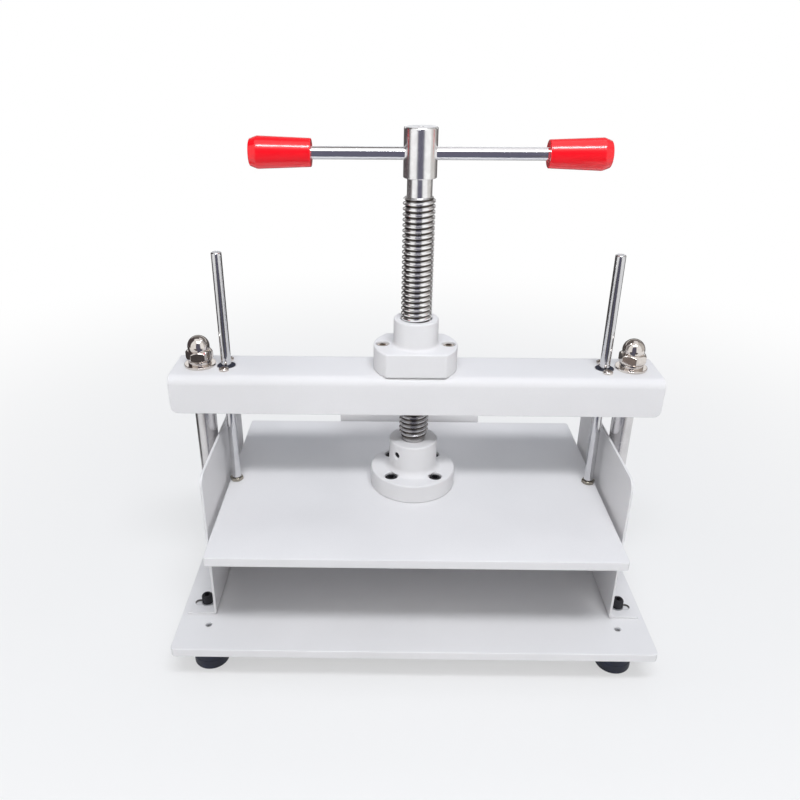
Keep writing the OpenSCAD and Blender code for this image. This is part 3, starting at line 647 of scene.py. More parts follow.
def turned(name, outline, along="Z", facets=72):
    """Spins an outline of (radius, distance along the axis) corners into a closed solid at the origin."""
    if along == "X":
        axis, corners = (1, 0, 0), [Vector((distance, 0, radius)) for radius, distance in outline]
    else:
        axis, corners = (0, 0, 1), [Vector((radius, 0, distance)) for radius, distance in outline]
    piece = draw(name, corners)
    bpy.ops.mesh.spin(steps=facets, angle=2 * math.pi, center=(0, 0, 0), axis=axis)
    bpy.ops.mesh.select_all(action="SELECT")
    bpy.ops.mesh.remove_doubles(threshold=weld)
    bpy.ops.mesh.normals_make_consistent(inside=False)
    bpy.ops.object.mode_set(mode="OBJECT")
    return piece


def put_at(piece, places):
    """Moves a piece that was made at the origin to its place, and copies it to any others."""
    choose(piece)
    bpy.ops.object.mode_set(mode="EDIT")
    bpy.ops.mesh.select_all(action="SELECT")
    bpy.ops.transform.translate(value=places[0])
    for here, there in zip(places, places[1:]):
        bpy.ops.mesh.duplicate_move(TRANSFORM_OT_translate={"value": Vector(there) - Vector(here)})
    bpy.ops.object.mode_set(mode="OBJECT")


def work(piece, operation, tool):
    """Cuts, joins or trims a piece with a tool shape, which is then thrown away."""
    choose(piece)
    step = piece.modifiers.new("work", "BOOLEAN")
    step.operation = operation
    step.solver = "EXACT"
    step.object = tool
    bpy.ops.object.modifier_apply(modifier="work")
    bpy.data.objects.remove(tool)


def drill(piece, radius, low, high, spots, flare=0.3 * mm):
    """Drills through from low to high at the spots, with a small countersink at both ends."""
    wide = radius + flare + mm
    tool = turned("drill", [
        (0, low - mm),
        (wide, low - mm),
        (radius, low + flare),
        (radius, high - flare),
        (wide, high + mm),
        (0, high + mm),
    ], facets=40)
    put_at(tool, [Vector((spot.x, spot.y, 0)) for spot in spots])
    work(piece, "DIFFERENCE", tool)


small_hole = 2.55 * mm
stud_hole = 3.05 * mm
post_bolt_hole = 5.4 * mm
base_low, base_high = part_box("base_plate")
platen_low, platen_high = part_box("platen")
drill(base, small_hole, base_low.z, base_high.z, base_screws)
drill(base, post_bolt_hole, base_low.z, base_high.z, tops_of("post_bolts"))
drill(platen, stud_hole, platen_low.z, platen_high.z, platen_screws)
print("drilled:", base.name, platen.name)

# %% Finish the plates
def smooth(piece, angle):
    """Shades the piece smoothly up to an angle between its faces."""
    choose(piece)
    bpy.ops.object.shade_smooth_by_angle(angle=math.radians(angle))


def shade(piece):
    """Shades the piece smoothly, with large faces keeping their own direction."""
    smooth(piece, 35)
    weight = piece.modifiers.new("weight", "WEIGHTED_NORMAL")
    weight.keep_sharp = True
    bpy.ops.object.modifier_apply(modifier="weight")


def settle(piece, node, finish=None):
    """Gives a piece the finish and the body of the CAD node that it stands for, and hides that node."""
    piece.data.materials.clear()
    piece.data.materials.append(finishes[finish or slot_of[node]])
    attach(piece, body_of[node])
    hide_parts(node)
    print(piece.name, "rides on", body_of[node], "with", len(piece.data.polygons), "faces")


for piece, node in ((base, "base_plate"), (platen, "platen")):
    shade(piece)
    settle(piece, node)

# %% [markdown]
# ## The folded crossbeam
#
# The crossbeam is one thick sheet folded into an inverted channel, with its lower corners rounded. The channel's
# section is drawn corner by corner, with arcs for the folds, filled and pulled out to the beam's length. That keeps
# the wall the same all round, as in a real fold. The holes for studs, bearings and the nut come last.

# %% Fold the crossbeam
def arc(middle_across, middle_up, radius, start, end, steps):
    """Corners on an arc, in degrees from the across direction."""
    angles = [math.radians(start + (end - start) * step / steps) for step in range(steps + 1)]
    return [(middle_across + radius * math.cos(a), middle_up + radius * math.sin(a)) for a in angles]


def pulled(name, corners, step):
    """Fills a closed outline and pulls it out into a solid."""
    piece = draw(name, corners + corners[:1])
    bpy.ops.mesh.remove_doubles(threshold=weld)
    bpy.ops.mesh.edge_face_add()
    bpy.ops.mesh.extrude_region_move(TRANSFORM_OT_translate={"value": step})
    bpy.ops.mesh.select_all(action="SELECT")
    bpy.ops.mesh.normals_make_consistent(inside=False)
    bpy.ops.object.mode_set(mode="OBJECT")
    return piece


beam_low, beam_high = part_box("crossbeam")
beam_sheet = 5.0 * mm
beam_corner_r = 6.0 * mm
beam_edge = 0.6 * mm
near = 0.1 * mm
fold_out = 7.0 * mm
fold_in = fold_out - beam_sheet
half_d = (beam_high.y - beam_low.y) / 2
mast_y = (beam_high.y + beam_low.y) / 2
beam_h = beam_high.z - beam_low.z
fold_up = beam_h - fold_out
fold_across = half_d - fold_out
section = (
    [(half_d, 0)]
    + arc(fold_across, fold_up, fold_out, 0, 90, 8)
    + arc(-fold_across, fold_up, fold_out, 90, 180, 8)
    + [(-half_d, 0), (beam_sheet - half_d, 0)]
    + arc(-fold_across, fold_up, fold_in, 180, 90, 4)
    + arc(fold_across, fold_up, fold_in, 90, 0, 4)
    + [(half_d - beam_sheet, 0)]
)


def lower_corner(middle, way):
    """Picks the edges through the sheet at the lower corners of both ends."""
    return abs(way.y) > 0.9 and middle.z < beam_low.z + near and abs(middle.x) > beam_high.x - near


corners = [Vector((beam_low.x, mast_y + across, beam_low.z + up)) for across, up in section]
beam = pulled("crossbeam_painted", corners, Vector((beam_high.x - beam_low.x, 0, 0)))
round_edges(beam, beam_corner_r, 8, lower_corner)
soften(beam, beam_edge)
print("corners in the beam's section:", len(section))

# %% Drill the crossbeam
nut_middle = Vector((0, mast_y, 0))
roof = beam_high.z - beam_sheet
nut_way = 17.1 * mm
bearing_way = 7.6 * mm
post_stud_way = 6.4 * mm
bearing_screw_way = 2.2 * mm
drill(beam, nut_way, roof, beam_high.z, [nut_middle])
drill(beam, bearing_way, roof, beam_high.z, tops_of("rod_jam_nuts"), flare=0.5 * mm)
drill(beam, post_stud_way, roof, beam_high.z, tops_of("post_bolts"))
drill(beam, stud_hole, roof, beam_high.z, tops_of("screw_nut_bolts"))
drill(beam, bearing_screw_way, roof, beam_high.z, tops_of("bearing_screws"))
shade(beam)
settle(beam, "crossbeam")

# %% [markdown]
# ## Nut and hub
#
# Both are painted castings that are bolted down through counterbored holes. A round fillet joins flange and boss, so
# the outline of the boss has an arc at its foot. The nut's flange has two flats with round corners. Its plan is drawn
# from arcs and pulled up, and the boss is turned and joined to it. The hub is turned in one piece. It has a small
# hole in its side, where a grub screw keeps the press screw from lifting out.

# %% Make the nut's flange
def sink(piece, radius, low, high, spots):
    """Bores a flat-bottomed hole from high down to low at the spots, with a small countersink."""
    flare = 0.4 * mm
    wide = radius + flare + mm
    tool = turned("sink", [
        (0, low),
        (radius, low),
        (radius, high - flare),
        (wide, high + mm),
        (0, high + mm),
    ], facets=48)
    put_at(tool, [Vector((spot.x, spot.y, 0)) for spot in spots])
    work(piece, "DIFFERENCE", tool)


nut_low, nut_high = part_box("screw_nut")
flange_r = 33.35 * mm
flange_t = 19.7 * mm
flat_y = (nut_high.y - nut_low.y) / 2
flange_top = beam_high.z + flange_t
corner_r = 2.5 * mm
corner_y = flat_y - corner_r
corner_x = math.sqrt((flange_r - corner_r) ** 2 - corner_y ** 2)
lean_out = math.degrees(math.atan2(corner_y, corner_x))
plan = (
    arc(0, 0, flange_r, -lean_out, lean_out, 24)
    + arc(corner_x, corner_y, corner_r, lean_out, 90, 6)
    + arc(-corner_x, corner_y, corner_r, 90, 180 - lean_out, 6)
    + arc(0, 0, flange_r, 180 - lean_out, 180 + lean_out, 24)
    + arc(-corner_x, -corner_y, corner_r, 180 + lean_out, 270, 6)
    + arc(corner_x, -corner_y, corner_r, 270, 360 - lean_out, 6)
)
flange_foot = [Vector((across, along, beam_high.z)) for across, along in plan]
nut = pulled("nut_painted", flange_foot, Vector((0, 0, flange_top - beam_high.z)))
rim = 1.3 * mm
soften(nut, rim, segments=4)
put_at(nut, [nut_middle])
head_room = 6.8 * mm
counterbore = 5.4 * mm
screw_way = 3.4 * mm
drill(nut, screw_way, beam_high.z, flange_top, tops_of("screw_nut_bolts"))
sink(nut, counterbore, flange_top - head_room, flange_top, tops_of("screw_nut_bolts"))
print("corners in the flange's plan:", len(plan))

# %% Join the nut's boss
boss_r = 17.6 * mm
spigot_r = 17.0 * mm
nut_bore = 12.35 * mm
nut_fillet = 2.6 * mm
overlap = 0.03 * mm
fillet_z = flange_top + nut_fillet - overlap
drill(nut, spigot_r - mm, beam_high.z, flange_top, [nut_middle])
boss = turned("nut_boss", [
    (nut_bore, nut_low.z),
    (spigot_r, nut_low.z),
    (spigot_r, flange_top - 3 * mm),
] + arc(boss_r + nut_fillet, fillet_z, nut_fillet, 270, 180, 7)
  + arc(boss_r - rim, nut_high.z - rim, rim, 0, 90, 5)
  + arc(nut_bore + rim / 2, nut_high.z - rim / 2, rim / 2, 90, 180, 3) + [
    (nut_bore, nut_low.z),
], facets=96)
put_at(boss, [nut_middle])
work(nut, "UNION", boss)
shade(nut)
settle(nut, "screw_nut")

# %% Turn the hub
hub_low, hub_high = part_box("hub_flange")
hub_r = (hub_high.x - hub_low.x) / 2
hub_flange_t = 16.0 * mm
hub_flange_top = hub_low.z + hub_flange_t
hub_boss_r = 20.0 * mm
hub_bore = 9.46 * mm
hub_fillet = 5.5 * mm
hub_edge = 1.2 * mm
hub = turned("hub_painted", [
    (hub_bore, hub_low.z),
    (hub_r, hub_low.z),
    (hub_r, hub_flange_top),
] + arc(hub_boss_r + hub_fillet, hub_flange_top + hub_fillet, hub_fillet, 270, 180, 7) + [
    (hub_boss_r, hub_high.z),
    (hub_bore, hub_high.z),
    (hub_bore, hub_low.z),
], facets=96)
soften(hub, hub_edge, segments=4)
print("hub's height in mm:", round((hub_high.z - hub_low.z) / mm, 1))

# %% Drill the hub
grub_low, grub_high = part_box("hub_grub_screw")
grub_z = (grub_low.z + grub_high.z) / 2
grub_r = 2.55 * mm
grub_inner = 5 * mm
grub_flare = 2 * mm
grub_mouth = hub_boss_r + 1.1 * mm
grub_turn = math.radians(225)
grub_hole = turned("grub_hole", [
    (0, grub_inner),
    (grub_r, grub_inner),
    (grub_r, grub_mouth - grub_flare),
    (grub_r + grub_flare, grub_mouth),
    (0, grub_mouth),
], along="X", facets=32)
grub_hole.rotation_euler.z = grub_turn
bpy.ops.object.transform_apply(location=False, rotation=True, scale=False)
put_at(grub_hole, [(0, 0, grub_z)])
work(hub, "DIFFERENCE", grub_hole)
put_at(hub, [nut_middle])
drill(hub, screw_way, hub_low.z, hub_flange_top, tops_of("hub_bolts"))
sink(hub, counterbore, hub_flange_top - head_room, hub_flange_top, tops_of("hub_bolts"))
shade(hub)
settle(hub, "hub_flange")

# %% [markdown]
# ## Bent paper guides
#
# Two side guides and a rear guide line up the stack. Each is a strip of 2 mm sheet bent once, with round upper
# corners and two slots in its foot. As with the crossbeam, the section is drawn with its bend and pulled out to the
# guide's length. One function makes all three, facing outwards along X, and each is then turned to its side. The
# slots' walls get a dark grey painted shade, so each guide gets a coat of its own with that shade there.

# %% Cut the slots and shade their walls
def slot_tool(length, width, x, y):
    """An upright bar with round ends, as long as a slot."""
    half = (length - width) / 2
    outline = arc(x + half, y, width / 2, -90, 90, 12) + arc(x - half, y, width / 2, 90, 270, 12)
    return pulled("slot", [Vector((across, along, -mm)) for across, along in outline], Vector((0, 0, 5 * mm)))


slot_l, slot_w = 16.0 * mm, 6.6 * mm
slot_x = 12.3 * mm
# How far round the slots the painted shade reaches.
slot_shade_start, slot_shade_end = slot_w / 2 + 0.05 * mm, slot_w / 2 + 0.25 * mm


def slot_wall_shade(where, centres, out):
    """1 on the walls of the slots and just round them, where the dark grey painted shade goes."""
    x, y = coordinate(where, 0), coordinate(where, 1)
    painted_shade = 0.0
    for centre in centres:
        along = out.x * (x - centre.x) + out.y * (y - centre.y)
        aside = out.x * (y - centre.y) - out.y * (x - centre.x)
        past = x.sum("MAXIMUM", x.sum("ABSOLUTE", along, 0.0) - (slot_l - slot_w) / 2, 0.0)
        away = (past * past + aside * aside) ** 0.5
        painted_shade = painted_shade + (1.0 - band(away, slot_shade_start, slot_shade_end))
    return painted_shade


print("slots in mm:", round(slot_l / mm, 1), "by", round(slot_w / mm, 1))

# %% Bend the guides
guide_sheet = 2.0 * mm
guide_foot = 24.2 * mm
guide_corner_r = 8.0 * mm
guide_edge = 0.35 * mm
bend_in = 1.5 * mm
bend_out = bend_in + guide_sheet
post_room = 27.0 * mm


def guide(name, node, length, screw_y, facing, round_post):
    """A guide of this length that faces outwards at an angle, with room for a post in its foot if need be."""
    low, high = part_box(node)
    height = high.z - low.z
    section = (
        [(guide_foot, 0)]
        + arc(bend_out, bend_out, bend_out, 270, 180, 6)
        + [(0, height), (guide_sheet, height)]
        + arc(bend_out, bend_out, bend_in, 180, 270, 6)
        + [(guide_foot, guide_sheet)]
    )
    corners = [Vector((across, -length / 2, up)) for across, up in section]
    piece = pulled(name, corners, Vector((0, length, 0)))

    def upper_corner(middle, way):
        return abs(way.x) > 0.9 and middle.z > height - near and abs(middle.y) > length / 2 - near

    round_edges(piece, guide_corner_r, 8, upper_corner)
    soften(piece, guide_edge, segments=2)
    for side in (-1, 1):
        work(piece, "DIFFERENCE", slot_tool(slot_l, slot_w, slot_x, side * screw_y))
    if round_post:
        notch = block("notch", (guide_sheet, -post_room / 2, -mm), (guide_foot + mm, post_room / 2, 7 * mm))
        work(piece, "DIFFERENCE", notch)
    choose(piece)
    piece.rotation_euler.z = math.radians(facing)
    bpy.ops.object.transform_apply(location=False, rotation=True, scale=False)
    middle = (low + high) / 2
    inner_x = {0: low.x, 180: high.x}.get(facing, middle.x)
    inner_y = low.y if facing == 90 else middle.y
    put_at(piece, [(inner_x, inner_y, low.z)])
    shade(piece)
    out = Vector((math.cos(math.radians(facing)), math.sin(math.radians(facing))))
    beside = Vector((-out.y, out.x))
    inner = Vector((inner_x, inner_y))
    centres = [inner + slot_x * out + side * screw_y * beside for side in (-1, 1)]
    # Each guide's own coat carries the painted shade on the walls of its slots.
    powder_coat(name + "_coat", lambda where: slot_wall_shade(where, centres, out))
    settle(piece, node, name + "_coat")


side_l, rear_l = 156.0 * mm, 138.0 * mm
side_screw_y, rear_screw_y = side_l / 2 - 12.5 * mm, 50.0 * mm
guide("guide_left", "left_guide", side_l, side_screw_y, 180, round_post=True)
guide("guide_right", "right_guide", side_l, side_screw_y, 0, round_post=True)
guide("guide_rear", "rear_guide", rear_l, rear_screw_y, 90, round_post=False)

# %% [markdown]
# ## Posts
#
# The posts are ground bar with a thread turned on the upper end, so a lathe is the natural tool: an outline is
# drawn point by point and spun round the axis. One post is made, and a copy with its own mesh is the other.

# %% Turn the posts
def twin(piece, name, step):
    """A second piece with its own mesh, a step away."""
    choose(piece)
    bpy.ops.object.duplicate()
    other = bpy.context.object
    other.name = name
    put_at(other, [step])
    return other


def foot_of(node):
    """The middle of a node's box, on its underside."""
    low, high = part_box(node)
    return Vector(((low.x + high.x) / 2, (low.y + high.y) / 2, low.z))


stud_r = 6.0 * mm
post_low, post_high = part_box("left_post")
post_r = (post_high.x - post_low.x) / 2
post_l = roof - post_low.z
stud_l = post_high.z - post_low.z
post = turned(
    "post_left", [(0, 0), (post_r, 0), (post_r, post_l), (stud_r, post_l), (stud_r, stud_l), (0, stud_l)]
)
soften(post, 0.4 * mm)
shade(post)
put_at(post, [foot_of("left_post")])
other_post = twin(post, "post_right", foot_of("right_post") - foot_of("left_post"))
settle(post, "left_post")
settle(other_post, "right_post")

# %% [markdown]
# ## Washers on the posts
#
# Under each cap nut lie a flat washer and a split washer. Both are turned rings. The split washer also has a slanting
# cut, which is what makes it spring, and a thin tilted block saws it.

# %% Turn the washers
def ring_outline(inner, outer, low, high):
    """The outline of a ring, to be spun."""
    return [(inner, low), (outer, low), (outer, high), (inner, high), (inner, low)]


washer_low, washer_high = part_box("cap_nut_washers")
washer_t = washer_high.z - washer_low.z
washer_r = (washer_high.y - washer_low.y) / 2
washer_bore = stud_r + 0.4 * mm
washer = turned("cap_washers", ring_outline(washer_bore, washer_r, 0, washer_t))
soften(washer, 0.45 * mm)
shade(washer)
above_posts = [foot_of(node) for node in ("left_post", "right_post")]
put_at(washer, [Vector((spot.x, spot.y, washer_low.z)) for spot in above_posts])
settle(washer, "cap_nut_washers")


saw_tilt = math.radians(24)


def split_washer(name, node, inner_r, split):
    """Split washers for all the solids of a node, each cut through at the rear with a slanting saw."""
    low, high = solids_of(node)[0]
    outer_r = (high.x - low.x) / 2
    height = high.z - low.z
    made = turned(name, ring_outline(inner_r, outer_r, -height, 0), facets=64)
    saw = block("saw", (-split / 2, 0, -2 * height), (split / 2, 2 * outer_r, 2 * height))
    saw.rotation_euler = (0, saw_tilt, 0)
    saw.location = (0, 0, -height / 2)
    bpy.ops.object.transform_apply(location=True, rotation=True, scale=True)
    work(made, "DIFFERENCE", saw)
    soften(made, 0.1 * height, segments=2)
    shade(made)
    put_at(made, tops_of(node))
    settle(made, node)


split_washer("cap_split_washers", "cap_nut_lock_washers", washer_bore, 1.0 * mm)

# %% [markdown]
# ## Cap nuts
#
# A cap nut starts as a hexagon bar. A turned blank takes its corners off, and a dome closes the top. Each nut stands
# at the angle where it came to rest when it was tightened.

# %% Make the cap nuts
half_flat = math.radians(30)


def hexagon(name, across_flats, height, low=0.0, turn=half_flat):
    """A six-sided bar that stands on a height, with two of its flats facing front and rear."""
    bpy.ops.object.select_all(action="DESELECT")
    bpy.ops.mesh.primitive_cylinder_add(
        vertices=6,
        radius=across_flats / 2 / math.cos(half_flat),
        depth=height,
        location=(0, 0, low + height / 2),
        rotation=(0, 0, turn),
    )
    bar = bpy.context.object
    bar.name = name
    bpy.ops.object.transform_apply(location=True, rotation=True, scale=True)
    return bar


def turned_hexagon(name, across_flats, height, angle):
    """A hexagon bar with the corners of both ends turned off at an angle."""
    bar = hexagon(name, across_flats, height)
    blank_r = 1.02 * across_flats / 2 / math.cos(half_flat)
    flat_r = 0.955 * across_flats / 2
    slope = (blank_r - flat_r) * math.tan(math.radians(angle))
    work(bar, "INTERSECT", turned("blank", [
        (0, 0), (flat_r, 0), (blank_r, slope), (blank_r, height - slope), (flat_r, height), (0, height)
    ]))
    return bar


def bore(piece, radius, depth):
    """Bores a hole up into a piece from its underside."""
    work(piece, "DIFFERENCE", turned("bore", [(0, -mm), (radius, -mm), (radius, depth), (0, depth)], facets=48))


cap_low, cap_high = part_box("left_cap_nut")
cap_af = cap_high.y - cap_low.y
cap_h = cap_high.z - cap_low.z
hex_h = 0.42 * cap_h
dome_r = 0.46 * cap_af
dome_z = cap_h - dome_r
cap_nut = turned_hexagon("cap_nut_left", cap_af, hex_h, 42)
dome = [(0, 0.5 * hex_h), (0.85 * dome_r, 0.5 * hex_h)] + arc(0, dome_z, dome_r, -26, 90, 15)
work(cap_nut, "UNION", turned("dome", dome))
bore(cap_nut, stud_r + 0.1 * mm, post_high.z - cap_low.z + 0.5 * mm)
soften(cap_nut, 0.25 * mm, segments=2, angle=28)
shade(cap_nut)
other_cap_nut = twin(cap_nut, "cap_nut_right", (0, 0, 0))
for nut_piece, node, stopped in ((cap_nut, "left_cap_nut", 5), (other_cap_nut, "right_cap_nut", -31)):
    choose(nut_piece)
    nut_piece.rotation_euler.z = math.radians(stopped)
    bpy.ops.object.transform_apply(location=False, rotation=True, scale=False)
    put_at(nut_piece, [foot_of(node)])
    settle(nut_piece, node)

# %% [markdown]
# ## Socket screws
#
# The nut and the hub are held by counterbored socket screws, and the guides by the same kind with a knurled head.
# A screw is turned, a hexagon is cut into its head, and for the knurl every second row of corners on the head's
# side is drawn in a little. One screw of each kind is modelled and then copied to the places of the CAD solids.

# %% Make the socket screws
socket_turn = math.radians(12)
knurl_share = 0.955


def socket_screw(name, node, shank_r, head_h, socket_af, knurled):
    """Socket screws for all the solids of a node, each with the top of its head at its solid's top."""
    low, high = solids_of(node)[0]
    head_r = (high.x - low.x) / 2
    length = high.z - low.z
    rim = 0.12 * head_h
    facets = 80
    screw = turned(name, [
        (0, -length),
        (shank_r - 0.5 * mm, -length),
        (shank_r, -length + 0.5 * mm),
        (shank_r, -head_h),
        (head_r, -head_h),
        (head_r, -0.9 * head_h),
        (head_r, -1.6 * rim),
        (head_r - rim, -0.2 * rim),
        (head_r - 1.5 * rim, 0),
        (0, 0),
    ], facets=facets)
    if knurled:
        choose(screw)
        bpy.ops.object.mode_set(mode="EDIT")
        bpy.ops.mesh.select_mode(type="VERT")
        bpy.ops.mesh.select_all(action="DESELECT")
        shape = bmesh.from_edit_mesh(screw.data)
        for corner in shape.verts:
            row = round(math.atan2(corner.co.y, corner.co.x) / (2 * math.pi) * facets)
            on_side = math.hypot(corner.co.x, corner.co.y) > 0.98 * head_r
            corner.select_set(on_side and row % 2 == 1)
        bmesh.update_edit_mesh(screw.data)
        bpy.ops.transform.resize(value=(knurl_share, knurl_share, 1), center_override=(0, 0, 0))
        bpy.ops.object.mode_set(mode="OBJECT")
    work(screw, "DIFFERENCE", hexagon("socket", socket_af, head_h, low=-0.55 * head_h, turn=socket_turn))
    smooth(screw, 8 if knurled else 28)
    put_at(screw, tops_of(node))
    settle(screw, node)


head_h = 6.0 * mm
socket_screw("nut_screws", "screw_nut_bolts", 3.0 * mm, head_h, 5.0 * mm, knurled=False)
socket_screw("hub_screws", "hub_bolts", 3.0 * mm, head_h, 5.0 * mm, knurled=False)
socket_screw("guide_screws", "guide_bolts", 2.5 * mm, head_h, 4.0 * mm, knurled=True)

# %% [markdown]
# ## Rod bearings and their screws
#
# Each polished rod slides in a bearing that sits flush in the crossbeam's top, with a dark seal that covers its end.
# Two low round-headed screws beside the rod hold the bearing from above. The heads are turned with a curved top, and
# a cross is cut into it. The bearings are copies of the CAD mesh with soft edges and a recess for the wider seal.

# %% Make the bearing screws
def bar_tool(x, y, z):
    """A bar round the origin, to cut with."""
    return block("bar_tool", (-x / 2, -y / 2, -z / 2), (x / 2, y / 2, z / 2))


screw_box_low, screw_box_high = solids_of("bearing_screws")[0]
pan_r = (screw_box_high.x - screw_box_low.x) / 2
pan_l = screw_box_high.z - screw_box_low.z
pan_h = 2.4 * mm
shank_r = 2.0 * mm
crown_h = 0.62 * pan_h
crown_steps = 8
pan = [(0, -pan_l), (shank_r, -pan_l), (shank_r, -pan_h), (pan_r, -pan_h), (pan_r, -crown_h)]
for step in range(1, crown_steps):
    angle = math.radians(90 * step / crown_steps)
    pan.append((pan_r * math.cos(angle) ** 0.7, -crown_h * (1 - math.sin(angle))))
pan.append((0, 0))
bearing_screw = turned("bearing_screws_round", pan, facets=56)
cross_w = 0.17 * 2 * pan_r
cross_l = 1.15 * pan_r
work(bearing_screw, "DIFFERENCE", bar_tool(cross_l, cross_w, pan_h))
work(bearing_screw, "DIFFERENCE", bar_tool(cross_w, cross_l, pan_h))
smooth(bearing_screw, 30)
put_at(bearing_screw, tops_of("bearing_screws"))
settle(bearing_screw, "bearing_screws")

# %% Soften the bearings and turn their seals
def merged_copy(node, name):
    """A separate object with the CAD node's mesh, its triangles merged into clean faces."""
    choose(nodes[node])
    bpy.ops.object.duplicate()
    piece = bpy.context.object
    piece.name = name
    piece.parent = None
    for key in [key for key in piece.keys() if key.startswith("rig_")]:
        del piece[key]
    bpy.ops.mesh.customdata_custom_splitnormals_clear()
    bpy.ops.object.mode_set(mode="EDIT")
    bpy.ops.mesh.select_all(action="SELECT")
    bpy.ops.mesh.remove_doubles(threshold=weld)
    bpy.ops.mesh.dissolve_limited(angle_limit=math.radians(0.4))
    bpy.ops.object.mode_set(mode="OBJECT")
    return piece


seal_r = 7.2 * mm
rod_way = 4.05 * mm
seal_low, seal_high = solids_of("bearing_seals")[0]
seal_t = seal_high.z - seal_low.z
for node in ("left_rod_bearing", "right_rod_bearing"):
    piece = merged_copy(node, "soft_" + node)
    recess = turned("recess", [(0, -seal_t), (seal_r, -seal_t), (seal_r, 0), (0, 0)], facets=56)
    put_at(recess, [top for top in tops_of("bearing_seals") if top.x * foot_of(node).x > 0])
    work(piece, "DIFFERENCE", recess)
    soften(piece, 0.2 * mm, segments=2)
    shade(piece)
    settle(piece, node)

seal = turned("rod_seals", ring_outline(rod_way, seal_r, -seal_t, 0), facets=56)
soften(seal, 0.25 * mm, segments=2)
shade(seal)
put_at(seal, tops_of("bearing_seals"))
settle(seal, "bearing_seals")

# %% [markdown]
# ## Guide rods and their lock nuts
#
# The rods are polished bar with a turned end, screwed into the platen and locked by a thin nut. Chamfers on both
# ends catch the light. The nuts are hexagon bar with both ends turned off and a hole through the middle.

# %% Turn the rods and make the lock nuts
lock_low, lock_high = solids_of("rod_jam_nuts")[0]
rod_low, rod_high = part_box("left_guide_rod")
rod_r = (rod_high.x - rod_low.x) / 2
rod_stud_r = 3.0 * mm
rod_foot = lock_high.z - rod_low.z
rod_l = rod_high.z - rod_low.z
chamfer = 0.7 * mm
rod = turned("rod_left", [
    (0, 0),
    (rod_stud_r, 0),
    (rod_stud_r, rod_foot),
    (rod_r - chamfer, rod_foot),
    (rod_r, rod_foot + chamfer),
    (rod_r, rod_l - chamfer),
    (rod_r - chamfer, rod_l),
    (0, rod_l),
], facets=48)
soften(rod, 0.15 * mm, segments=2, angle=30)
shade(rod)
put_at(rod, [foot_of("left_guide_rod")])
other_rod = twin(rod, "rod_right", foot_of("right_guide_rod") - foot_of("left_guide_rod"))
settle(rod, "left_guide_rod", "rod_steel")
settle(other_rod, "right_guide_rod", "rod_steel")

lock_af = 10.0 * mm
lock_nut = turned_hexagon("rod_lock_nuts", lock_af, lock_high.z - lock_low.z, 30)
bore(lock_nut, rod_stud_r + 0.05 * mm, 6 * mm)
soften(lock_nut, 0.2 * mm, segments=2, angle=28)
shade(lock_nut)
put_at(lock_nut, [top - Vector((0, 0, lock_high.z - lock_low.z)) for top in tops_of("rod_jam_nuts")])
settle(lock_nut, "rod_jam_nuts", "dull_nickel")

# %% [markdown]
# ## The press screw
#
# The screw is one bar of steel: a head with a hole for the bar handle, a neck, a coarse right-hand thread and a
# plain journal that turns in the hub, with a groove for the grub screw's tip. It is made as in a workshop, and the
# blank is turned first. Its upper end keeps the small cone that the lathe's centre ran in.

# %% Turn the screw's blank
pitch = record["behaviour"]["couplings"][0]["ratio"] * 2 * math.pi
journal_r = 9.4 * mm
neck_r = 9.25 * mm
head_r = (screw_high.x - screw_low.x) / 2
thread_low = 168.9 * mm
thread_high = 359.2 * mm
run_out = thread_low - 5.6 * mm
head_low = 372.8 * mm
groove_z = 150.4 * mm
groove_half, groove_depth = 2.1 * mm, 2 * mm
edge = 0.9 * mm
foot_z, top_z = screw_low.z, screw_high.z
screw = turned("screw_with_thread", [
    (0, foot_z),
    (journal_r - mm, foot_z),
    (journal_r, foot_z + mm),
    (journal_r, groove_z - groove_half),
    (journal_r - groove_depth, groove_z - groove_half),
    (journal_r - groove_depth, groove_z + groove_half),
    (journal_r, groove_z + groove_half),
    (journal_r, run_out - 1.2 * mm),
    (root_r, run_out),
    (thread_r, run_out + 4.4 * mm),
    (thread_r, thread_high - 1.4 * mm),
    (root_r, thread_high),
    (neck_r, thread_high + 0.3 * mm),
    (neck_r, head_low - 0.4 * mm),
    (neck_r + 0.4 * mm, head_low),
    (head_r - 0.4 * edge, head_low),
    (head_r, head_low + 0.4 * edge),
    (head_r, top_z - edge),
    (head_r - 0.35 * edge, top_z - 0.3 * edge),
    (head_r - edge, top_z),
    (2.0 * mm, top_z),
    (0.6 * mm, top_z - 1.6 * mm),
    (0, top_z - 1.8 * mm),
])
print("pitch in mm:", round(pitch / mm, 3))

# %% [markdown]
# ## The thread
#
# A tool with the shape of the thread's groove goes round the blank in a helix, one pitch a turn, and what it sweeps
# is cut away. The Screw modifier makes the sweep, and the tool flares at the crest so that the thread gets small
# chamfers. The pitch comes from the coupling between the screw's turn and the platen's lift.

# %% Sweep the thread's tool
crest_share = 0.32
root_share = 0.30
flank = (1 - crest_share - root_share) / 2 * pitch
half_root = root_share / 2 * pitch
nick = 0.28 * mm
ease = 0.25 * mm
groove = [
    (root_r + ease, -half_root),
    (root_r, -half_root + ease),
    (root_r, half_root - ease),
    (root_r + ease, half_root),
    (thread_r - nick, half_root + flank),
    (thread_r + nick, half_root + flank + 2 * nick),
    (thread_r + nick, -half_root - flank - 2 * nick),
    (thread_r - nick, -half_root - flank),
]
bpy.ops.object.select_all(action="DESELECT")
bpy.ops.mesh.primitive_circle_add(vertices=len(groove), radius=mm)
tool = bpy.context.object
tool.name = "thread_tool"
for vertex, (radius, height) in zip(tool.data.vertices, groove):
    vertex.co = (radius, 0, height)
lead = 1.2 * pitch
start_z = run_out - lead
turns = math.ceil((thread_high + lead - start_z) / pitch)
facets = 72
put_at(tool, [(0, 0, start_z)])
sweep = tool.modifiers.new("sweep", "SCREW")
sweep.axis = "Z"
sweep.angle = 2 * math.pi
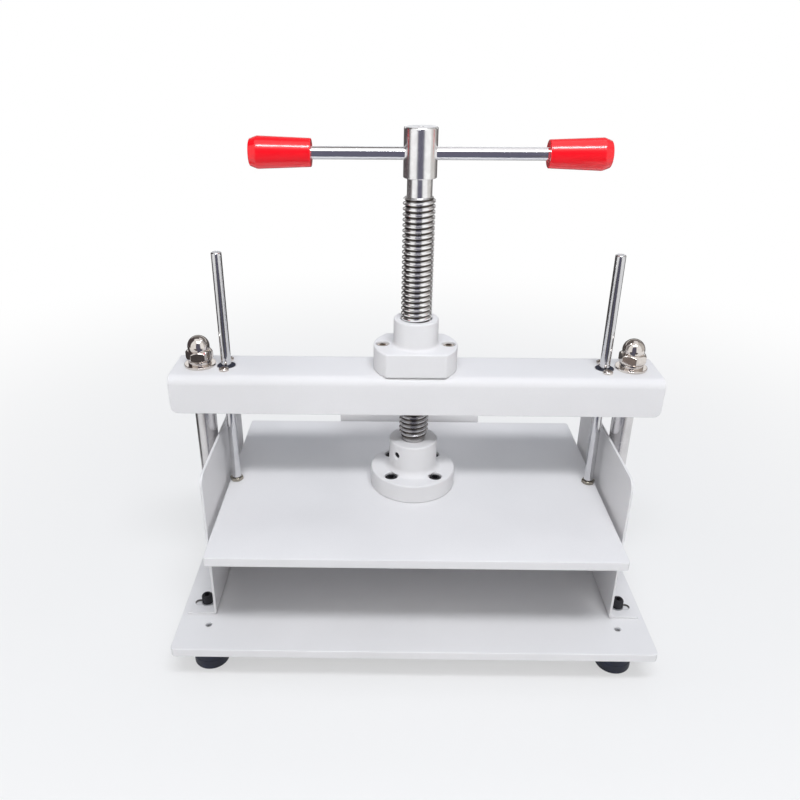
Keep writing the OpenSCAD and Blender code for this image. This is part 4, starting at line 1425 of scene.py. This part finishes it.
sweep.screw_offset = pitch
sweep.iterations = turns
sweep.steps = sweep.render_steps = facets
sweep.use_merge_vertices = False
bpy.ops.object.modifier_apply(modifier="sweep")
bpy.ops.object.mode_set(mode="EDIT")
bpy.ops.mesh.select_all(action="SELECT")
bpy.ops.mesh.remove_doubles(threshold=weld)
bpy.ops.mesh.fill_holes(sides=len(groove))
bpy.ops.mesh.select_all(action="SELECT")
bpy.ops.mesh.normals_make_consistent(inside=False)
bpy.ops.object.mode_set(mode="OBJECT")
print("turns of the tool:", turns)

# %% Cut the thread and the bar's hole
work(screw, "DIFFERENCE", tool)
bar_low, bar_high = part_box("handle_bar")
bar_r = (bar_high.z - bar_low.z) / 2
bar_z = (bar_low.z + bar_high.z) / 2
hole_r = bar_r + 0.15 * mm
reach = head_r + 2 * mm
bar_hole = turned("bar_hole", [(0, -reach), (hole_r, -reach), (hole_r, reach), (0, reach)], along="X")
put_at(bar_hole, [(0, 0, bar_z)])
work(screw, "DIFFERENCE", bar_hole)
smooth(screw, 24)
put_at(screw, [(screw_axis.x, screw_axis.y, 0)])
settle(screw, "press_screw")

# %% [markdown]
# ## Bar handle and red grips
#
# The bar slides in the screw's head, so that a long arm can be had on one side. The grips are moulded: thickest
# near the outer end, thinner towards the screw, with a slope at the end. They are turned about the bar's own
# direction, and a bevel rounds their edges as a mould would.

# %% Turn the bar and the grips
bar_edge = 0.5 * mm
bar = turned("bar_rod", [
    (0, bar_low.x),
    (bar_r - bar_edge, bar_low.x),
    (bar_r, bar_low.x + bar_edge),
    (bar_r, bar_high.x - bar_edge),
    (bar_r - bar_edge, bar_high.x),
    (0, bar_high.x),
], along="X", facets=48)
smooth(bar, 30)
put_at(bar, [(0, screw_axis.y, bar_z)])
settle(bar, "handle_bar")

end_slope = 5.5 * mm
bar_depth = 30 * mm
mouth = 1.2 * mm
for node, name, side in (("left_grip", "grip_left", -1), ("right_grip", "grip_right", 1)):
    low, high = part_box(node)
    inner_x, outer_x = (low.x, high.x) if side > 0 else (high.x, low.x)
    widest_r = (high.z - low.z) / 2
    inner_r = widest_r - 1.5 * mm
    end_r = widest_r - 2.1 * mm
    grip = turned(name, [
        (0, inner_x + side * bar_depth),
        (bar_r, inner_x + side * bar_depth),
        (bar_r, inner_x + side * mouth),
        (bar_r + mouth, inner_x),
        (inner_r, inner_x),
        (widest_r, outer_x - side * end_slope),
        (end_r, outer_x),
        (0, outer_x),
    ], along="X", facets=64)
    soften(grip, 0.7 * mm, segments=4, angle=14)
    shade(grip)
    put_at(grip, [(0, screw_axis.y, bar_z)])
    settle(grip, node)

# %% [markdown]
# ## Washers of the guides
#
# Under each clamping screw lie a flat washer and a split washer, as on the posts but smaller. The flat ones are
# turned and copied to their places, and the function for the split ones is used again.

# %% Turn the guides' washers
flat_low, flat_high = solids_of("guide_washers")[0]
flat_r = (flat_high.x - flat_low.x) / 2
flat_t = flat_high.z - flat_low.z
clearance_r = 2.7 * mm
flat_washer = turned("guide_flat_washers", ring_outline(clearance_r, flat_r, -flat_t, 0), facets=48)
soften(flat_washer, 0.2 * mm, segments=2)
shade(flat_washer)
put_at(flat_washer, tops_of("guide_washers"))
settle(flat_washer, "guide_washers")

split_washer("guide_split_washers", "guide_lock_washers", clearance_r - 0.1 * mm, 0.7 * mm)

# %% [markdown]
# ## Rubber feet
#
# Each foot is a moulded rubber barrel with a round lower edge and a deep bore, where a screw and a washer hold it
# to the base. Moulded rubber has a thin raised line where the halves of the mould met, so the outline has one.

# %% Mould the feet
foot_low, foot_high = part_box("front_left_foot")
foot_r = (foot_high.x - foot_low.x) / 2
foot_h = foot_high.z - foot_low.z
round_r = 1.4 * mm
bore_r = 6.9 * mm
web = 9.0 * mm
foot_hole_r = 2.9 * mm
inset = 0.25 * mm
foot_edge = 0.6 * mm
barrel = [(bore_r, 0)] + arc(foot_r - round_r, round_r, round_r, 270, 360, 8) + [
    (foot_r, 0.30 * foot_h),
    (foot_r - inset, 0.31 * foot_h),
    (foot_r - inset, foot_h - foot_edge),
    (foot_r - inset - foot_edge, foot_h),
    (foot_hole_r, foot_h),
    (foot_hole_r, foot_h - web),
    (bore_r, foot_h - web),
    (bore_r, 0),
]
foot_nodes = ("front_left_foot", "front_right_foot", "rear_left_foot", "rear_right_foot")
first = turned("foot_front_left", barrel)
smooth(first, 30)
put_at(first, [foot_of(foot_nodes[0])])
feet = [first]
for node in foot_nodes[1:]:
    end, side, _ = node.split("_")
    feet.append(twin(first, f"foot_{end}_{side}", foot_of(node) - foot_of(foot_nodes[0])))
for node, foot in zip(foot_nodes, feet):
    settle(foot, node)

# %% [markdown]
# ## Bolts under the base
#
# A hexagon bolt with a washer holds each post from below. They are out of sight from above, but someone who turns
# the press over sees them, so they get soft edges too. What is left of the CAD model lies inside other pieces. It
# keeps its CAD mesh and gets its finish.

# %% Soften the bolts and finish what is left of the CAD model
for node in ("post_bolts", "post_bolt_washers"):
    piece = merged_copy(node, "soft_" + node)
    soften(piece, 0.3 * mm, segments=2)
    shade(piece)
    settle(piece, node)

kept = [name for name, thing in nodes.items() if not thing.hide_render]
for name in kept:
    for slot in nodes[name].material_slots:
        slot.link = "OBJECT"
        slot.material = finishes[slot_of[name]]
print("kept from the CAD model:", kept)

# %% [markdown] ## The size Dressing must not change the size of the press.
